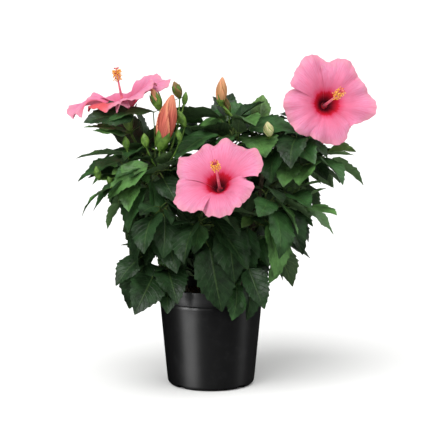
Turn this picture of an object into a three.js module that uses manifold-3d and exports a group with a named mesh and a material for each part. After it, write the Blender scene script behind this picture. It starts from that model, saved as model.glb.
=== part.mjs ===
// Pink hibiscus shrub in its nursery pot, in millimetres.
// +Z is up, +X is to the right of the front view and -Y faces the viewer.
// The origin is the centre of the pot's flat underside.
import * as THREE from "three";
import { mergeVertices } from "three/addons/utils/BufferGeometryUtils.js";
import Module from "manifold-3d";

// Clearance between separate pieces that meet
const SEAT_GAP = 0.3;

// Pot: outside sizes, then its wall and floor
const POT = {
  height: 123,
  rimRadius: 65,
  rimHeight: 18,
  shoulderRadius: 62.8,
  baseRadius: 53,
  cornerRadius: 6,
  lipRound: 0.8,
  wall: 1.8,
  floor: 3,
  sides: 36,
};
const DRAIN = { count: 4, firstAngle: 45, width: 12, height: 4.5, reach: 9 };
const SOIL = { top: 112, crumble: 6, edgeDrop: 2.5 };

// Stems: where each stands on the soil, where it ends, and how far its middle bows
const STEMS = {
  left: { foot: [-30, -4], top: [-62, -10, 262], bow: [-8, -4] },
  middle: { foot: [2, 16], top: [22, 16, 272], bow: [-8, 3] },
  right: { foot: [28, -10], top: [64, 2, 266], bow: [6, -2] },
};
const STEM = { footRadius: 4.2, topRadius: 2.7, flare: 2.2, flareShare: 0.07, sides: 8, steps: 10 };

// Shoots. fork is the share up the stem where each leaves it. heading turns from +X towards +Y, and
// with reach and height it places the tip. lift arches the shoot. leaf is the length of a full
// blade, and droop is how far the blades fall.
const SHOOTS = {
  left_crest: {
    stem: "left", fork: 0.92, heading: 179, reach: 82, height: 283, lift: -4,
    leaves: 8, leaf: 62, droop: -21, seed: 290,
  },
  left_buds: {
    stem: "left", fork: 0.98, heading: 211, reach: 73, height: 267, lift: 0,
    leaves: 8, leaf: 59, droop: 3, seed: 519,
  },
  left_reach: {
    stem: "left", fork: 0.76, heading: 201, reach: 113, height: 266, lift: 8,
    leaves: 9, leaf: 54, droop: 27, seed: 349,
  },
  left_inner: {
    stem: "left", fork: 0.5, heading: 226, reach: 88, height: 227, lift: 4,
    leaves: 9, leaf: 68, droop: 52, seed: 819,
  },
  left_low: {
    stem: "left", fork: 0.22, heading: 204, reach: 93, height: 180, lift: 8,
    leaves: 9, leaf: 67, droop: 37, seed: 237,
  },
  left_rim: {
    stem: "left", fork: 0.1, heading: 218, reach: 79, height: 154, lift: 6,
    leaves: 7, leaf: 71, droop: 15, seed: 245,
  },
  front_low: {
    stem: "middle", fork: 0.22, heading: 259, reach: 81, height: 222, lift: 4,
    leaves: 9, leaf: 73, droop: 53, seed: 7,
  },
  front_bloom: {
    stem: "middle", fork: 0.42, heading: 286, reach: 56, height: 215, lift: 2,
    leaves: 8, leaf: 69, droop: 55, seed: 190,
  },
  right_front: {
    stem: "right", fork: 0.36, heading: 317, reach: 96, height: 230, lift: 4,
    leaves: 9, leaf: 70, droop: 54, seed: 237,
  },
  right_mid: {
    stem: "right", fork: 0.55, heading: 348, reach: 107, height: 226, lift: 6,
    leaves: 9, leaf: 55, droop: 22, seed: 532,
  },
  right_reach: {
    stem: "right", fork: 0.78, heading: 6, reach: 140, height: 277, lift: 8,
    leaves: 9, leaf: 58, droop: 26, seed: 428,
  },
  right_crest: {
    stem: "right", fork: 0.94, heading: 7, reach: 120, height: 302, lift: -6,
    leaves: 9, leaf: 71, droop: 25, seed: 811,
  },
  right_low: {
    stem: "right", fork: 0.22, heading: 333, reach: 74, height: 178, lift: 8,
    leaves: 9, leaf: 57, droop: 45, seed: 496,
  },
  right_rim: {
    stem: "right", fork: 0.1, heading: 300, reach: 68, height: 155, lift: 6,
    leaves: 7, leaf: 71, droop: 57, seed: 426,
  },
  top_middle: {
    stem: "middle", fork: 0.9, heading: 347, reach: 29, height: 319, lift: 0,
    leaves: 7, leaf: 73, droop: -5, seed: 204,
  },
  top_right: {
    stem: "middle", fork: 0.98, heading: 15, reach: 62, height: 315, lift: -8,
    leaves: 7, leaf: 57, droop: -6, seed: 745,
  },
  back_left: {
    stem: "left", fork: 0.66, heading: 129, reach: 92, height: 276, lift: -4,
    leaves: 9, leaf: 74, droop: 33, seed: 347,
  },
  back_middle: {
    stem: "middle", fork: 0.72, heading: 90, reach: 84, height: 307, lift: -6,
    leaves: 9, leaf: 76, droop: 9, seed: 735,
  },
  back_right: {
    stem: "right", fork: 0.66, heading: 45, reach: 103, height: 277, lift: -4,
    leaves: 9, leaf: 84, droop: 30, seed: 698,
  },
  back_low_left: {
    stem: "left", fork: 0.18, heading: 123, reach: 63, height: 197, lift: 6,
    leaves: 9, leaf: 77, droop: 40, seed: 609,
  },
  back_low: {
    stem: "middle", fork: 0.2, heading: 108, reach: 91, height: 169, lift: 6,
    leaves: 9, leaf: 63, droop: 58, seed: 198,
  },
  back_low_right: {
    stem: "right", fork: 0.2, heading: 62, reach: 74, height: 228, lift: 6,
    leaves: 9, leaf: 78, droop: 55, seed: 532,
  },
};

// The first share of every shoot is a bare bough, and the rest is the stem of a mass of foliage.
// No leaf of a mass reaches further than space from its middle, or lower than lowest.
const SHOOT = {
  boughShare: 0.42,
  footRadius: 2.3,
  tipRadius: 1.1,
  boughSides: 5,
  twigSides: 4,
  steps: 3,
  space: 108,
  lowest: 62,
  clearance: 0.4,
};
const SIDE_TWIG = {
  count: 2,
  leaves: 2,
  first: 0.12,
  last: 0.55,
  reachShare: 0.5,
  angle: 44,
  wander: 35,
  rise: 0.12,
  footRadius: 1.2,
  tipRadius: 0.9,
};

// Leaves: width, stalk and thickness are shares of the blade's length, and each station is the
// share along the blade and its width there. The last leaf of a twig grows at lastAt.
const LEAF = {
  width: 0.66,
  stalk: 0.34,
  thick: 0.018,
  stations: [[0.16, 0.78], [0.52, 0.94]],
  rootDepth: 0.6,
  neckRadius: 1,
  testedFrom: 0.3,
  lastAt: 0.95,
  goldenTurn: 137.5,
  tries: 12,
};

// Blooms: throat is the middle of the open disc, axis faces out of it, and column is the anthers'
// place to the right of the throat, above it and out of it. Each petal has its angle from the
// bloom's right towards its top, half its spread, its share of the radius, and the lift and tilt
// of its rim.
const BLOOMS = {
  left: {
    shoot: "left_crest", throat: [-108, -6, 354], axis: [-0.24, -0.05, 0.97],
    radius: 61, ruffle: 3.5, column: [2, 2, 30],
    petals: [
      [20, 46, 1.02, 12, 6], [92, 44, 0.85, 3, 0], [168, 40, 1.12, 2, -10],
      [240, 44, 0.84, 2, -6], [306, 46, 0.88, 7, 8],
    ],
  },
  front: {
    shoot: "front_bloom", throat: [8.5, -100, 264], axis: [-0.1, -0.76, 0.64],
    radius: 54, ruffle: 4, column: [-1, 3, 27],
    petals: [
      [58, 48, 1.1, 1, 0], [136, 46, 1.02, 0, 0], [214, 38, 1.04, 0, 0],
      [279, 40, 0.9, 0, 0], [338, 36, 0.78, -4, 0],
    ],
  },
  right: {
    shoot: "right_crest", throat: [140, -30, 347], axis: [0.16, -0.95, 0.22],
    radius: 57, ruffle: 4, column: [6, 7, 40],
    petals: [
      [56, 44, 1, -1, 0], [115, 42, 1.04, 3, 3], [196, 46, 0.94, 0, -2],
      [274, 40, 0.88, 1, 2], [355, 44, 1.02, 0, 0],
    ],
  },
};
const PETAL = {
  depth: 24,
  throatAngle: 22,
  widensBy: 0.4,
  throatShare: 0.06,
  cornerCut: 0.2,
  lobe: 0.045,
  overlap: 3,
  reflex: 7,
  thick: 1.1,
  stepsOut: 3,
  stepsAcross: 5,
};
const CALYX = { length: 24, radius: 6.2, into: 5, sides: 6 };
const FLOWER_STALK = { radius: 1.5, sides: 5, steps: 5 };
const COLUMN = { radius: 1.7, headRadius: 3.6, headFrom: 0.7, sides: 6, steps: 6 };

// Buds at the tips of shoots: the stalk's length and tilt, then the bud's own lean and size.
// high sets how far up the bud is widest.
const BUDS = [
  { shoot: "left_buds", stalk: 28, tilt: 6, heading: 0, lean: 13, length: 68, width: 23, high: 0.95 },
  { shoot: "top_middle", stalk: 31, tilt: 45, heading: 180, lean: -4, length: 34, width: 14, high: 0.8 },
  { shoot: "back_left", stalk: 16, tilt: 20, heading: 90, lean: 14, length: 30, width: 13, high: 0.8 },
];
const BUD = { stalkRadius: 1.2, sides: 6, steps: 7 };

const FINISHES = {
  pot: { color: 0x1d1e20, roughness: 0.35 },
  soil: { color: 0x3b2a1d, roughness: 1 },
  bark: { color: 0x5a5138, roughness: 0.85 },
  shoot: { color: 0x4d6a35, roughness: 0.7 },
  foliage: { color: 0x284a26, roughness: 0.4 },
  petals: { color: 0xf29cb9, roughness: 0.6 },
};

const { degToRad, lerp, smoothstep } = THREE.MathUtils;
const UP = new THREE.Vector3(0, 0, 1);
const vec = (x, y, z) => new THREE.Vector3(x, y, z);

// a + b * share, as a new vector
const along = (a, b, share) => a.clone().addScaledVector(b, share);

function acrossTo(direction) {
  const other = Math.abs(direction.z) > 0.9 ? vec(1, 0, 0) : UP;
  return direction.clone().cross(other).normalize();
}

// The same stream of numbers from 0 to 1 for the same seed
function randomStream(seed) {
  let state = seed >>> 0;
  return () => {
    state = (state + 0x6d2b79f5) >>> 0;
    let n = Math.imul(state ^ (state >>> 15), state | 1);
    n ^= n + Math.imul(n ^ (n >>> 7), n | 61);
    return ((n ^ (n >>> 14)) >>> 0) / 4294967296;
  };
}

// A curved limb that tapers evenly from its foot to its tip
class Limb {
  constructor(foot, middle, tip, footRadius, tipRadius) {
    this.curve = new THREE.QuadraticBezierCurve3(foot, middle, tip);
    this.footRadius = footRadius;
    this.tipRadius = tipRadius;
  }

  radius(t) {
    return lerp(this.footRadius, this.tipRadius, t);
  }

  stretch(from, to) {
    const { v0, v1, v2 } = this.curve;
    const blend = (s, t) => {
      const point = v0.clone().multiplyScalar((1 - s) * (1 - t));
      return point.addScaledVector(v1, s * (1 - t) + t * (1 - s)).addScaledVector(v2, s * t);
    };
    const radii = [this.radius(from), this.radius(to)];
    return new Limb(blend(from, from), blend(from, to), blend(to, to), ...radii);
  }
}

// A skin is a closed surface: points, and faces as triples of their numbers.
// This one runs round a limb, with its radius given by the share along it.
function limbSkin(limb, sides, steps, radiusAt = (t) => limb.radius(t)) {
  const points = [];
  const faces = [];
  let normal = acrossTo(limb.curve.getTangent(0));
  for (let i = 0; i <= steps; i++) {
    const t = i / steps;
    const centre = limb.curve.getPoint(t);
    const direction = limb.curve.getTangent(t);
    normal = along(normal, direction, -normal.dot(direction)).normalize();
    const other = direction.clone().cross(normal);
    for (let k = 0; k < sides; k++) {
      const angle = (2 * Math.PI * k) / sides;
      const out = normal.clone().multiplyScalar(Math.cos(angle)).addScaledVector(other, Math.sin(angle));
      points.push(along(centre, out, radiusAt(t)));
    }
  }
  for (let i = 0; i < steps; i++) {
    for (let k = 0; k < sides; k++) {
      const a = i * sides + k;
      const b = i * sides + ((k + 1) % sides);
      faces.push([a, b, b + sides], [a, b + sides, a + sides]);
    }
  }
  const end = steps * sides;
  for (let k = 1; k < sides - 1; k++) {
    faces.push([0, k + 1, k], [end, end + k, end + k + 1]);
  }
  return { points, faces };
}

// Cuts the foot of a limb's skin flat, through a point and across a direction
function cutFoot(skin, sides, point, direction) {
  for (const p of skin.points.slice(0, sides)) {
    p.addScaledVector(direction, point.clone().sub(p).dot(direction));
  }
  return skin;
}

// Skin of a thin sheet. pointAt takes the share along, the place across from -1 to 1 and the
// height off the sheet.
function sheetSkin(pointAt, stepsAlong, stepsAcross, thick) {
  const points = [];
  const faces = [];
  const row = stepsAcross + 1;
  const layer = (stepsAlong + 1) * row;
  for (const off of [thick / 2, -thick / 2]) {
    for (let i = 0; i <= stepsAlong; i++) {
      for (let j = 0; j <= stepsAcross; j++) {
        points.push(pointAt(i / stepsAlong, (2 * j) / stepsAcross - 1, off));
      }
    }
  }
  for (let i = 0; i < stepsAlong; i++) {
    for (let j = 0; j < stepsAcross; j++) {
      const a = i * row + j;
      const b = a + row;
      faces.push([a, b, b + 1], [a, b + 1, a + 1]);
      faces.push([a + layer, b + 1 + layer, b + layer], [a + layer, a + 1 + layer, b + 1 + layer]);
    }
  }
  const close = (a, b) => faces.push([b, a, a + layer], [b, a + layer, b + layer]);
  for (let i = 0; i < stepsAlong; i++) {
    close(i * row, (i + 1) * row);
    close((i + 1) * row + stepsAcross, i * row + stepsAcross);
  }
  for (let j = 0; j < stepsAcross; j++) {
    close(j + 1, j);
    close(stepsAlong * row + j, stepsAlong * row + j + 1);
  }
  return { points, faces };
}

// Stems stand on the soil, and flare at the foot.
function growStem(stem) {
  const foot = vec(...stem.foot, SOIL.top + SEAT_GAP);
  const top = vec(...stem.top);
  const middle = foot.clone().lerp(top, 0.5).add(vec(...stem.bow, 0));
  return new Limb(foot, middle, top, STEM.footRadius, STEM.topRadius);
}

function stemSkin(limb, swell = 0) {
  const flare = (t) => STEM.flare * Math.exp(-t / STEM.flareShare);
  const skin = limbSkin(limb, STEM.sides, STEM.steps, (t) => limb.radius(t) + flare(t) + swell);
  return cutFoot(skin, STEM.sides, limb.curve.v0, UP);
}

function growShoot(shoot, stem) {
  const foot = stem.curve.getPoint(shoot.fork);
  const heading = degToRad(shoot.heading);
  const tip = vec(shoot.reach * Math.cos(heading), shoot.reach * Math.sin(heading), shoot.height);
  const middle = foot.clone().lerp(tip, 0.5).add(vec(0, 0, shoot.lift));
  return new Limb(foot, middle, tip, SHOOT.footRadius, SHOOT.tipRadius);
}

// The stem of a mass starts clear of its bough's tip. leafFrom is the share where leaves start.
function massStem(shoot, limb) {
  const gap = SEAT_GAP / limb.curve.getLength();
  return { limb: limb.stretch(SHOOT.boughShare + gap, 1), leaves: shoot.leaves, leafFrom: 0.06 };
}

// A twig that branches from the stem of its mass, by the shoot's own seed
function sideTwig(shoot, stem, order) {
  const random = randomStream(shoot.seed * 8192 + order);
  const t = lerp(SIDE_TWIG.first, SIDE_TWIG.last, order / (SIDE_TWIG.count - 1));
  const foot = stem.curve.getPoint(t);
  const direction = stem.curve.getTangent(t);
  const wander = lerp(-SIDE_TWIG.wander, SIDE_TWIG.wander, random());
  const turn = degToRad(shoot.seed * 61 + order * 180 + wander);
  const radial = acrossTo(direction).applyAxisAngle(direction, turn);
  radial.z = Math.max(radial.z, -0.2);
  const angle = degToRad(SIDE_TWIG.angle);
  const out = direction.multiplyScalar(Math.cos(angle)).addScaledVector(radial, Math.sin(angle));
  const reach = stem.curve.getLength() * SIDE_TWIG.reachShare * lerp(0.8, 1.15, random());
  const middle = along(foot, out, reach / 2);
  const tip = along(foot, out, reach).addScaledVector(UP, reach * SIDE_TWIG.rise);
  const limb = new Limb(foot, middle, tip, SIDE_TWIG.footRadius, SIDE_TWIG.tipRadius);
  return { limb, leaves: SIDE_TWIG.leaves, leafFrom: 0.5 };
}

// One leaf of a twig. share runs from 0 at the twig's lowest leaf to 1 at its tip, order counts
// all the leaves of the mass, and each attempt gives the same leaf another turn and size.
function growLeaf(shoot, twig, order, share, attempt) {
  const random = randomStream(shoot.seed * 4096 + order * 64 + attempt);
  const spread = (range) => lerp(-range, range, random());
  const t = lerp(twig.leafFrom, LEAF.lastAt, share);
  const young = Math.max(0, (share - 0.7) / 0.3);
  const shrink = lerp(1, 0.66, young * young) * (1 - 0.05 * attempt);
  const size = shoot.leaf * shrink * (1 + spread(0.16));
  const root = twig.limb.curve.getPoint(t);
  const direction = twig.limb.curve.getTangent(t);
  const turn = degToRad(order * LEAF.goldenTurn + shoot.seed * 47 + spread(18 + 14 * attempt));
  const radial = acrossTo(direction).applyAxisAngle(direction, turn);
  const angle = degToRad(lerp(76, 36, share) + spread(12));
  const out = direction.multiplyScalar(Math.cos(angle)).addScaledVector(radial, Math.sin(angle));
  out.z += 0.15;
  out.normalize();
  const stalk = size * LEAF.stalk * (1 + spread(0.3)) * lerp(1, 0.7, young);
  const neck = along(root, out, stalk);
  const level = Math.hypot(out.x, out.y) < 0.25 ? vec(radial.x, radial.y, 0) : vec(out.x, out.y, 0);
  level.normalize();
  const drop = degToRad(shoot.droop + lerp(14, -8, t) - 34 * young + spread(22));
  const forward = level.multiplyScalar(Math.cos(drop)).addScaledVector(UP, -Math.sin(drop));
  forward.addScaledVector(out, 0.25).normalize();
  const side = UP.clone().cross(forward).normalize();
  const roll = degToRad(spread(28));
  side.applyAxisAngle(forward, roll);
  const upper = forward.clone().cross(side).normalize();
  const bend = degToRad(lerp(16, 52, random()) * lerp(1, 0.6, young));
  const fold = degToRad(lerp(6, 24, random()));
  const width = size * LEAF.width * lerp(0.88, 1.1, random());
  return { size, root, neck, forward, side, upper, bend, fold, width };
}

// A point of the blade: share along the midrib, place across from -1 to 1, the half width there
// and the height off the blade
function bladePoint(leaf, share, place, half, off) {
  const angle = leaf.bend * share;
  const arc = leaf.size / leaf.bend;
  const normal = leaf.upper.clone().multiplyScalar(Math.cos(angle));
  normal.addScaledVector(leaf.forward, Math.sin(angle));
  const point = along(leaf.neck, leaf.forward, arc * Math.sin(angle));
  point.addScaledVector(leaf.upper, -arc * (1 - Math.cos(angle)));
  point.addScaledVector(leaf.side, place * half * Math.cos(leaf.fold));
  return point.addScaledVector(normal, Math.abs(place) * half * Math.sin(leaf.fold) + off);
}

// Three-sided stalk, pointed where it is sunk past the twig's middle, and a blade folded on its
// midrib. With swell the skin is that much larger all
// round, and starts away from the twig, to test what the leaf would touch.
function leafSkin(leaf, swell = 0) {
  const points = [];
  const stalk = leaf.neck.clone().sub(leaf.root).normalize();
  const side = along(leaf.side, stalk, -leaf.side.dot(stalk)).normalize();
  const under = side.clone().cross(stalk);
  const ring = (centre) => {
    const radius = LEAF.neckRadius + swell;
    const top = along(centre, under, -radius * 0.5);
    points.push(along(top, side, radius * 0.87), along(top, side, -radius * 0.87));
    points.push(along(centre, under, radius));
  };
  ring(leaf.neck);
  const thick = leaf.size * LEAF.thick;
  for (const [share, width] of LEAF.stations) {
    const half = (leaf.width * width) / 2 + swell;
    points.push(bladePoint(leaf, share, 1, half, 0), bladePoint(leaf, share, -1, half, 0));
    points.push(bladePoint(leaf, share, 0, half, swell));
    points.push(bladePoint(leaf, share, 0, half, -thick - swell));
  }
  const tip = points.length;
  points.push(bladePoint(leaf, 1 + swell / leaf.size, 0, 0, 0));
  const faces = [[0, 1, 5], [0, 5, 3], [1, 4, 5], [0, 3, 6], [0, 6, 2], [2, 6, 1], [1, 6, 4]];
  for (let a = 3; a + 4 < tip; a += 4) {
    const b = a + 4;
    faces.push([a + 2, b + 2, b], [a + 2, b, a], [a + 2, a + 1, b + 1], [a + 2, b + 1, b + 2]);
    faces.push([a + 3, b, b + 3], [a + 3, a, b], [a + 3, b + 1, a + 1], [a + 3, b + 3, b + 1]);
  }
  const last = tip - 4;
  faces.push([last + 2, tip, last], [last + 2, last + 1, tip]);
  faces.push([last + 3, last, tip], [last + 3, tip, last + 1]);
  const root = tip + 1;
  if (swell) {
    ring(leaf.root.clone().lerp(leaf.neck, LEAF.testedFrom));
    faces.push([root, 0, 2], [root, 2, root + 2], [root + 2, 2, 1], [root + 2, 1, root + 1]);
    faces.push([root + 1, 1, 0], [root + 1, 0, root], [root, root + 2, root + 1]);
  } else {
    points.push(along(leaf.root, stalk, -LEAF.rootDepth));
    faces.push([root, 0, 2], [root, 2, 1], [root, 1, 0]);
  }
  return { points, faces };
}

// A bloom's own directions, and a point at a radius, angle and height from its throat
function bloomFrame(bloom) {
  const axis = vec(...bloom.axis).normalize();
  const up = along(UP, axis, -axis.z);
  if (up.length() < 0.4) up.set(0, 1, 0).addScaledVector(axis, -axis.y);
  up.normalize();
  const right = up.clone().cross(axis);
  const at = (radius, angle, height) => {
    const point = along(vec(...bloom.throat), right, radius * Math.cos(angle));
    return point.addScaledVector(up, radius * Math.sin(angle)).addScaledVector(axis, height);
  };
  return { axis, up, right, at };
}

// A point of a petal: share from the throat to the rim, and place across it from -1 to 1
function petalPoint(bloom, frame, order, share, place, off) {
  const [turn, spread, reach, lift, tilt] = bloom.petals[order];
  const widen = smoothstep(share, 0, PETAL.widensBy);
  const half = degToRad(lerp(PETAL.throatAngle, spread, widen));
  const phase = bloom.radius + order * 1.9;
  const angle = degToRad(turn) + place * half;
  const corner = 1 - PETAL.cornerCut * (place * share) ** 2;
  const lobe = 1 + PETAL.lobe * Math.sin(5.2 * place + phase) * share;
  const out = bloom.radius * reach * lerp(PETAL.throatShare / reach, 1, share) * corner * lobe;
  const cup = -PETAL.depth * (1 - share) ** 3 - PETAL.reflex * share ** 4;
  const wave = bloom.ruffle * Math.sin(7 * place + phase) * share ** 3;
  const raised = (lift + tilt * place) * share ** 2;
  return frame.at(out, angle, cup + PETAL.overlap * place * share + wave + raised + off);
}

// Petals, calyx, stalk from the shoot's tip, and the column with its anthers
function bloomSkins(bloom, stem) {
  const frame = bloomFrame(bloom);
  const skins = [];
  bloom.petals.forEach((_, order) => {
    const pointAt = (share, place, off) => petalPoint(bloom, frame, order, share, place, off);
    skins.push(sheetSkin(pointAt, PETAL.stepsOut, PETAL.stepsAcross, PETAL.thick));
  });
  const cupFloor = -PETAL.depth;
  const calyxFoot = frame.at(0, 0, cupFloor - CALYX.length);
  const calyxTop = frame.at(0, 0, cupFloor + CALYX.into);
  const calyx = new Limb(calyxFoot, calyxFoot.clone().lerp(calyxTop, 0.5), calyxTop, 1, 1);
  const stalkRadius = FLOWER_STALK.radius;
  const calyxRadius = (t) => lerp(stalkRadius, CALYX.radius, smoothstep(t, 0, 0.65));
  skins.push(limbSkin(calyx, CALYX.sides, 3, calyxRadius));
  const direction = stem.curve.getTangent(1);
  const foot = along(stem.curve.getPoint(1), direction, SEAT_GAP);
  const span = foot.distanceTo(calyxFoot);
  const middle = along(foot, direction, span / 2);
  middle.lerp(along(calyxFoot, frame.axis, -span * 0.45), 0.5);
  const stalkTop = along(calyxFoot, frame.axis, 3);
  const stalk = new Limb(foot, middle, stalkTop, stalkRadius * 0.85, stalkRadius);
  const stalkSkin = limbSkin(stalk, FLOWER_STALK.sides, FLOWER_STALK.steps);
  skins.push(cutFoot(stalkSkin, FLOWER_STALK.sides, foot, direction));
  const [right, up, out] = bloom.column;
  const head = along(frame.at(0, 0, out), frame.right, right).addScaledVector(frame.up, up);
  const column = new Limb(frame.at(0, 0, cupFloor - 4), frame.at(0, 0, out / 2), head, 1, 1);
  const columnRadius = (t) => (t > COLUMN.headFrom && t < 1 ? COLUMN.headRadius : COLUMN.radius);
  skins.push(limbSkin(column, COLUMN.sides, COLUMN.steps, columnRadius));
  return skins;
}

// Stalk and furled bud at the tip of a mass's stem
function budSkins(bud, stem) {
  const heading = degToRad(bud.heading);
  const leaning = (angle) => {
    const out = Math.sin(degToRad(angle));
    return vec(out * Math.cos(heading), out * Math.sin(heading), Math.cos(degToRad(angle)));
  };
  const direction = stem.curve.getTangent(1);
  const tip = stem.curve.getPoint(1);
  const up = leaning(bud.lean);
  const foot = along(tip, direction, bud.stalk * 0.2);
  foot.addScaledVector(leaning(bud.tilt), bud.stalk * 0.8);
  const middle = along(tip, direction, bud.stalk * 0.35);
  const stalkRadius = BUD.stalkRadius;
  const stalk = new Limb(along(tip, direction, -2), middle, along(foot, up, 2), stalkRadius, stalkRadius);
  const body = new Limb(foot, along(foot, up, bud.length / 2), along(foot, up, bud.length), 1, 1);
  const swell = (t) => Math.sin(Math.PI * Math.min(t, 0.985) ** bud.high) ** 0.6;
  const bodyRadius = (t) => (bud.width / 2) * Math.max(0.12, swell(t));
  return [limbSkin(stalk, SHOOT.twigSides, 3), limbSkin(body, BUD.sides, BUD.steps, bodyRadius)];
}

// What a new leaf keeps clear of: the edges and faces of a skin, its box, and the piece it is on
function obstacle(skin, owner) {
  const seen = new Set();
  const edges = [];
  for (const [a, b, c] of skin.faces) {
    for (const [i, j] of [[a, b], [b, c], [c, a]]) {
      const key = Math.min(i, j) * skin.points.length + Math.max(i, j);
      if (!seen.has(key)) edges.push([i, j]);
      seen.add(key);
    }
  }
  return { ...skin, edges, owner, box: new THREE.Box3().setFromPoints(skin.points) };
}

// Those edges or faces of a skin that reach into a box
function within(points, groups, box) {
  const own = new THREE.Box3();
  return groups.filter((group) => {
    own.makeEmpty();
    for (const i of group) own.expandByPoint(points[i]);
    return own.intersectsBox(box);
  });
}

function edgesPierce(a, b, box) {
  const edges = within(a.points, a.edges, box);
  const faces = edges.length ? within(b.points, b.faces, box) : [];
  const ray = new THREE.Ray();
  const hit = vec(0, 0, 0);
  return edges.some(([i, j]) => {
    const from = a.points[i];
    const length = from.distanceTo(a.points[j]);
    ray.set(from, a.points[j].clone().sub(from).divideScalar(length));
    return faces.some(([k, l, m]) => {
      const met = ray.intersectTriangle(b.points[k], b.points[l], b.points[m], false, hit);
      return met !== null && hit.distanceTo(from) <= length;
    });
  });
}

function touches(a, b) {
  if (!a.box.intersectsBox(b.box)) return false;
  const box = a.box.clone().intersect(b.box);
  return edgesPierce(a, b, box) || edgesPierce(b, a, box);
}

function potRadius(z) {
  const rimFoot = POT.height - POT.rimHeight;
  return z > rimFoot ? POT.rimRadius : lerp(POT.baseRadius, POT.shoulderRadius, z / rimFoot);
}

// Whether a skin reaches into the pot's wall or the soil, or hangs too low
function meetsPot(skin) {
  const clear = SHOOT.clearance;
  const steps = 5;
  const meets = (p) => {
    if (p.z > POT.height + clear) return false;
    if (p.z < SHOOT.lowest) return true;
    const radius = Math.hypot(p.x, p.y);
    if (radius > potRadius(p.z) + clear) return false;
    return p.z < SOIL.top + clear || radius > potRadius(p.z) - POT.wall - clear;
  };
  return skin.faces.some(([a, b, c]) => {
    const first = skin.points[b].clone().sub(skin.points[a]).divideScalar(steps);
    const second = skin.points[c].clone().sub(skin.points[a]).divideScalar(steps);
    for (let i = 0; i <= steps; i++) {
      for (let j = 0; j <= steps - i; j++) {
        const point = along(skin.points[a], first, i).addScaledVector(second, j);
        if (meets(point)) return true;
      }
    }
    return false;
  });
}

// The leaves of a mass that keep to its space and touch no limb, leaf, bloom or bud
function growLeaves(shoot, name, twigs, obstacles) {
  const skins = [];
  const middle = twigs[0].limb.curve.getPoint(0.5);
  let order = 0;
  for (const twig of twigs) {
    for (let i = 0; i < twig.leaves; i++, order++) {
      for (let attempt = 0; attempt < LEAF.tries; attempt++) {
        const leaf = growLeaf(shoot, twig, order, i / (twig.leaves - 1), attempt);
        if (bladePoint(leaf, 1, 0, 0, 0).distanceTo(middle) > SHOOT.space) continue;
        const swollen = obstacle(leafSkin(leaf, SHOOT.clearance), name);
        if (meetsPot(swollen)) continue;
        if (obstacles.some((other) => touches(swollen, other))) continue;
        obstacles.push(swollen);
        skins.push(leafSkin(leaf));
        break;
      }
    }
  }
  return skins;
}

// The whole plant: the limbs first, then blooms and buds, then side twigs, then leaves
function growPlant() {
  const obstacles = [];
  const keep = (skin, owner) => {
    obstacles.push(obstacle(skin, owner));
    return skin;
  };
  const stems = {};
  for (const [name, stem] of Object.entries(STEMS)) {
    stems[name] = growStem(stem);
    keep(stemSkin(stems[name]), `stem_${name}`);
  }
  const masses = {};
  for (const [name, shoot] of Object.entries(SHOOTS)) {
    const limb = growShoot(shoot, stems[shoot.stem]);
    const bough = limb.stretch(0, SHOOT.boughShare);
    keep(limbSkin(bough, SHOOT.boughSides, SHOOT.steps), `bough_${name}`);
    const twigs = [massStem(shoot, limb)];
    const skins = [keep(limbSkin(twigs[0].limb, SHOOT.twigSides, SHOOT.steps), name)];
    masses[name] = { shoot, bough, twigs, skins };
  }
  const blooms = {};
  for (const [name, bloom] of Object.entries(BLOOMS)) {
    blooms[name] = bloomSkins(bloom, masses[bloom.shoot].twigs[0].limb);
    for (const skin of blooms[name]) keep(skin, `bloom_${name}`);
  }
  for (const bud of BUDS) {
    const mass = masses[bud.shoot];
    for (const skin of budSkins(bud, mass.twigs[0].limb)) mass.skins.push(keep(skin, bud.shoot));
  }
  for (const [name, mass] of Object.entries(masses)) {
    for (let k = 0; k < SIDE_TWIG.count; k++) {
      const twig = sideTwig(mass.shoot, mass.twigs[0].limb, k);
      const radiusAt = (t) => twig.limb.radius(t) + SHOOT.clearance;
      const swollen = obstacle(limbSkin(twig.limb, SHOOT.twigSides, SHOOT.steps, radiusAt), name);
      if (meetsPot(swollen)) continue;
      if (obstacles.some((other) => other.owner !== name && touches(swollen, other))) continue;
      mass.twigs.push(twig);
      mass.skins.push(keep(limbSkin(twig.limb, SHOOT.twigSides, SHOOT.steps), name));
    }
  }
  for (const [name, mass] of Object.entries(masses)) {
    mass.skins.push(...growLeaves(mass.shoot, name, mass.twigs, obstacles));
  }
  return { stems, masses, blooms };
}

const wasm = await Module();
wasm.setup();

// Points closer than this are one after a cut or a join
const WELD = 0.01;

function solidOfSkin({ points, faces }) {
  const vertProperties = new Float32Array(points.flatMap((p) => [p.x, p.y, p.z]));
  const triVerts = new Uint32Array(faces.flat());
  return new wasm.Manifold(new wasm.Mesh({ numProp: 3, vertProperties, triVerts }));
}

function solidOfGeometry(geometry) {
  geometry.deleteAttribute("normal");
  geometry.deleteAttribute("uv");
  const merged = mergeVertices(geometry, 1e-3);
  const vertProperties = new Float32Array(merged.attributes.position.array);
  const triVerts = new Uint32Array(merged.index.array);
  return new wasm.Manifold(new wasm.Mesh({ numProp: 3, vertProperties, triVerts }));
}

// The largest body of a solid, without loose scraps and sealed hollows
function mainBody(solid) {
  const bodies = solid.simplify(WELD).decompose();
  return bodies.reduce((best, body) => (body.volume() > best.volume() ? body : best));
}

function join(skins) {
  return mainBody(skins.map(solidOfSkin).reduce((whole, piece) => whole.add(piece)));
}

// Turns a profile in radius and height round the vertical axis
function turned(profile) {
  const points = profile.map(([radius, height]) => new THREE.Vector2(radius, height));
  const geometry = new THREE.LatheGeometry(points, POT.sides).rotateX(Math.PI / 2);
  return solidOfGeometry(geometry);
}

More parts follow.
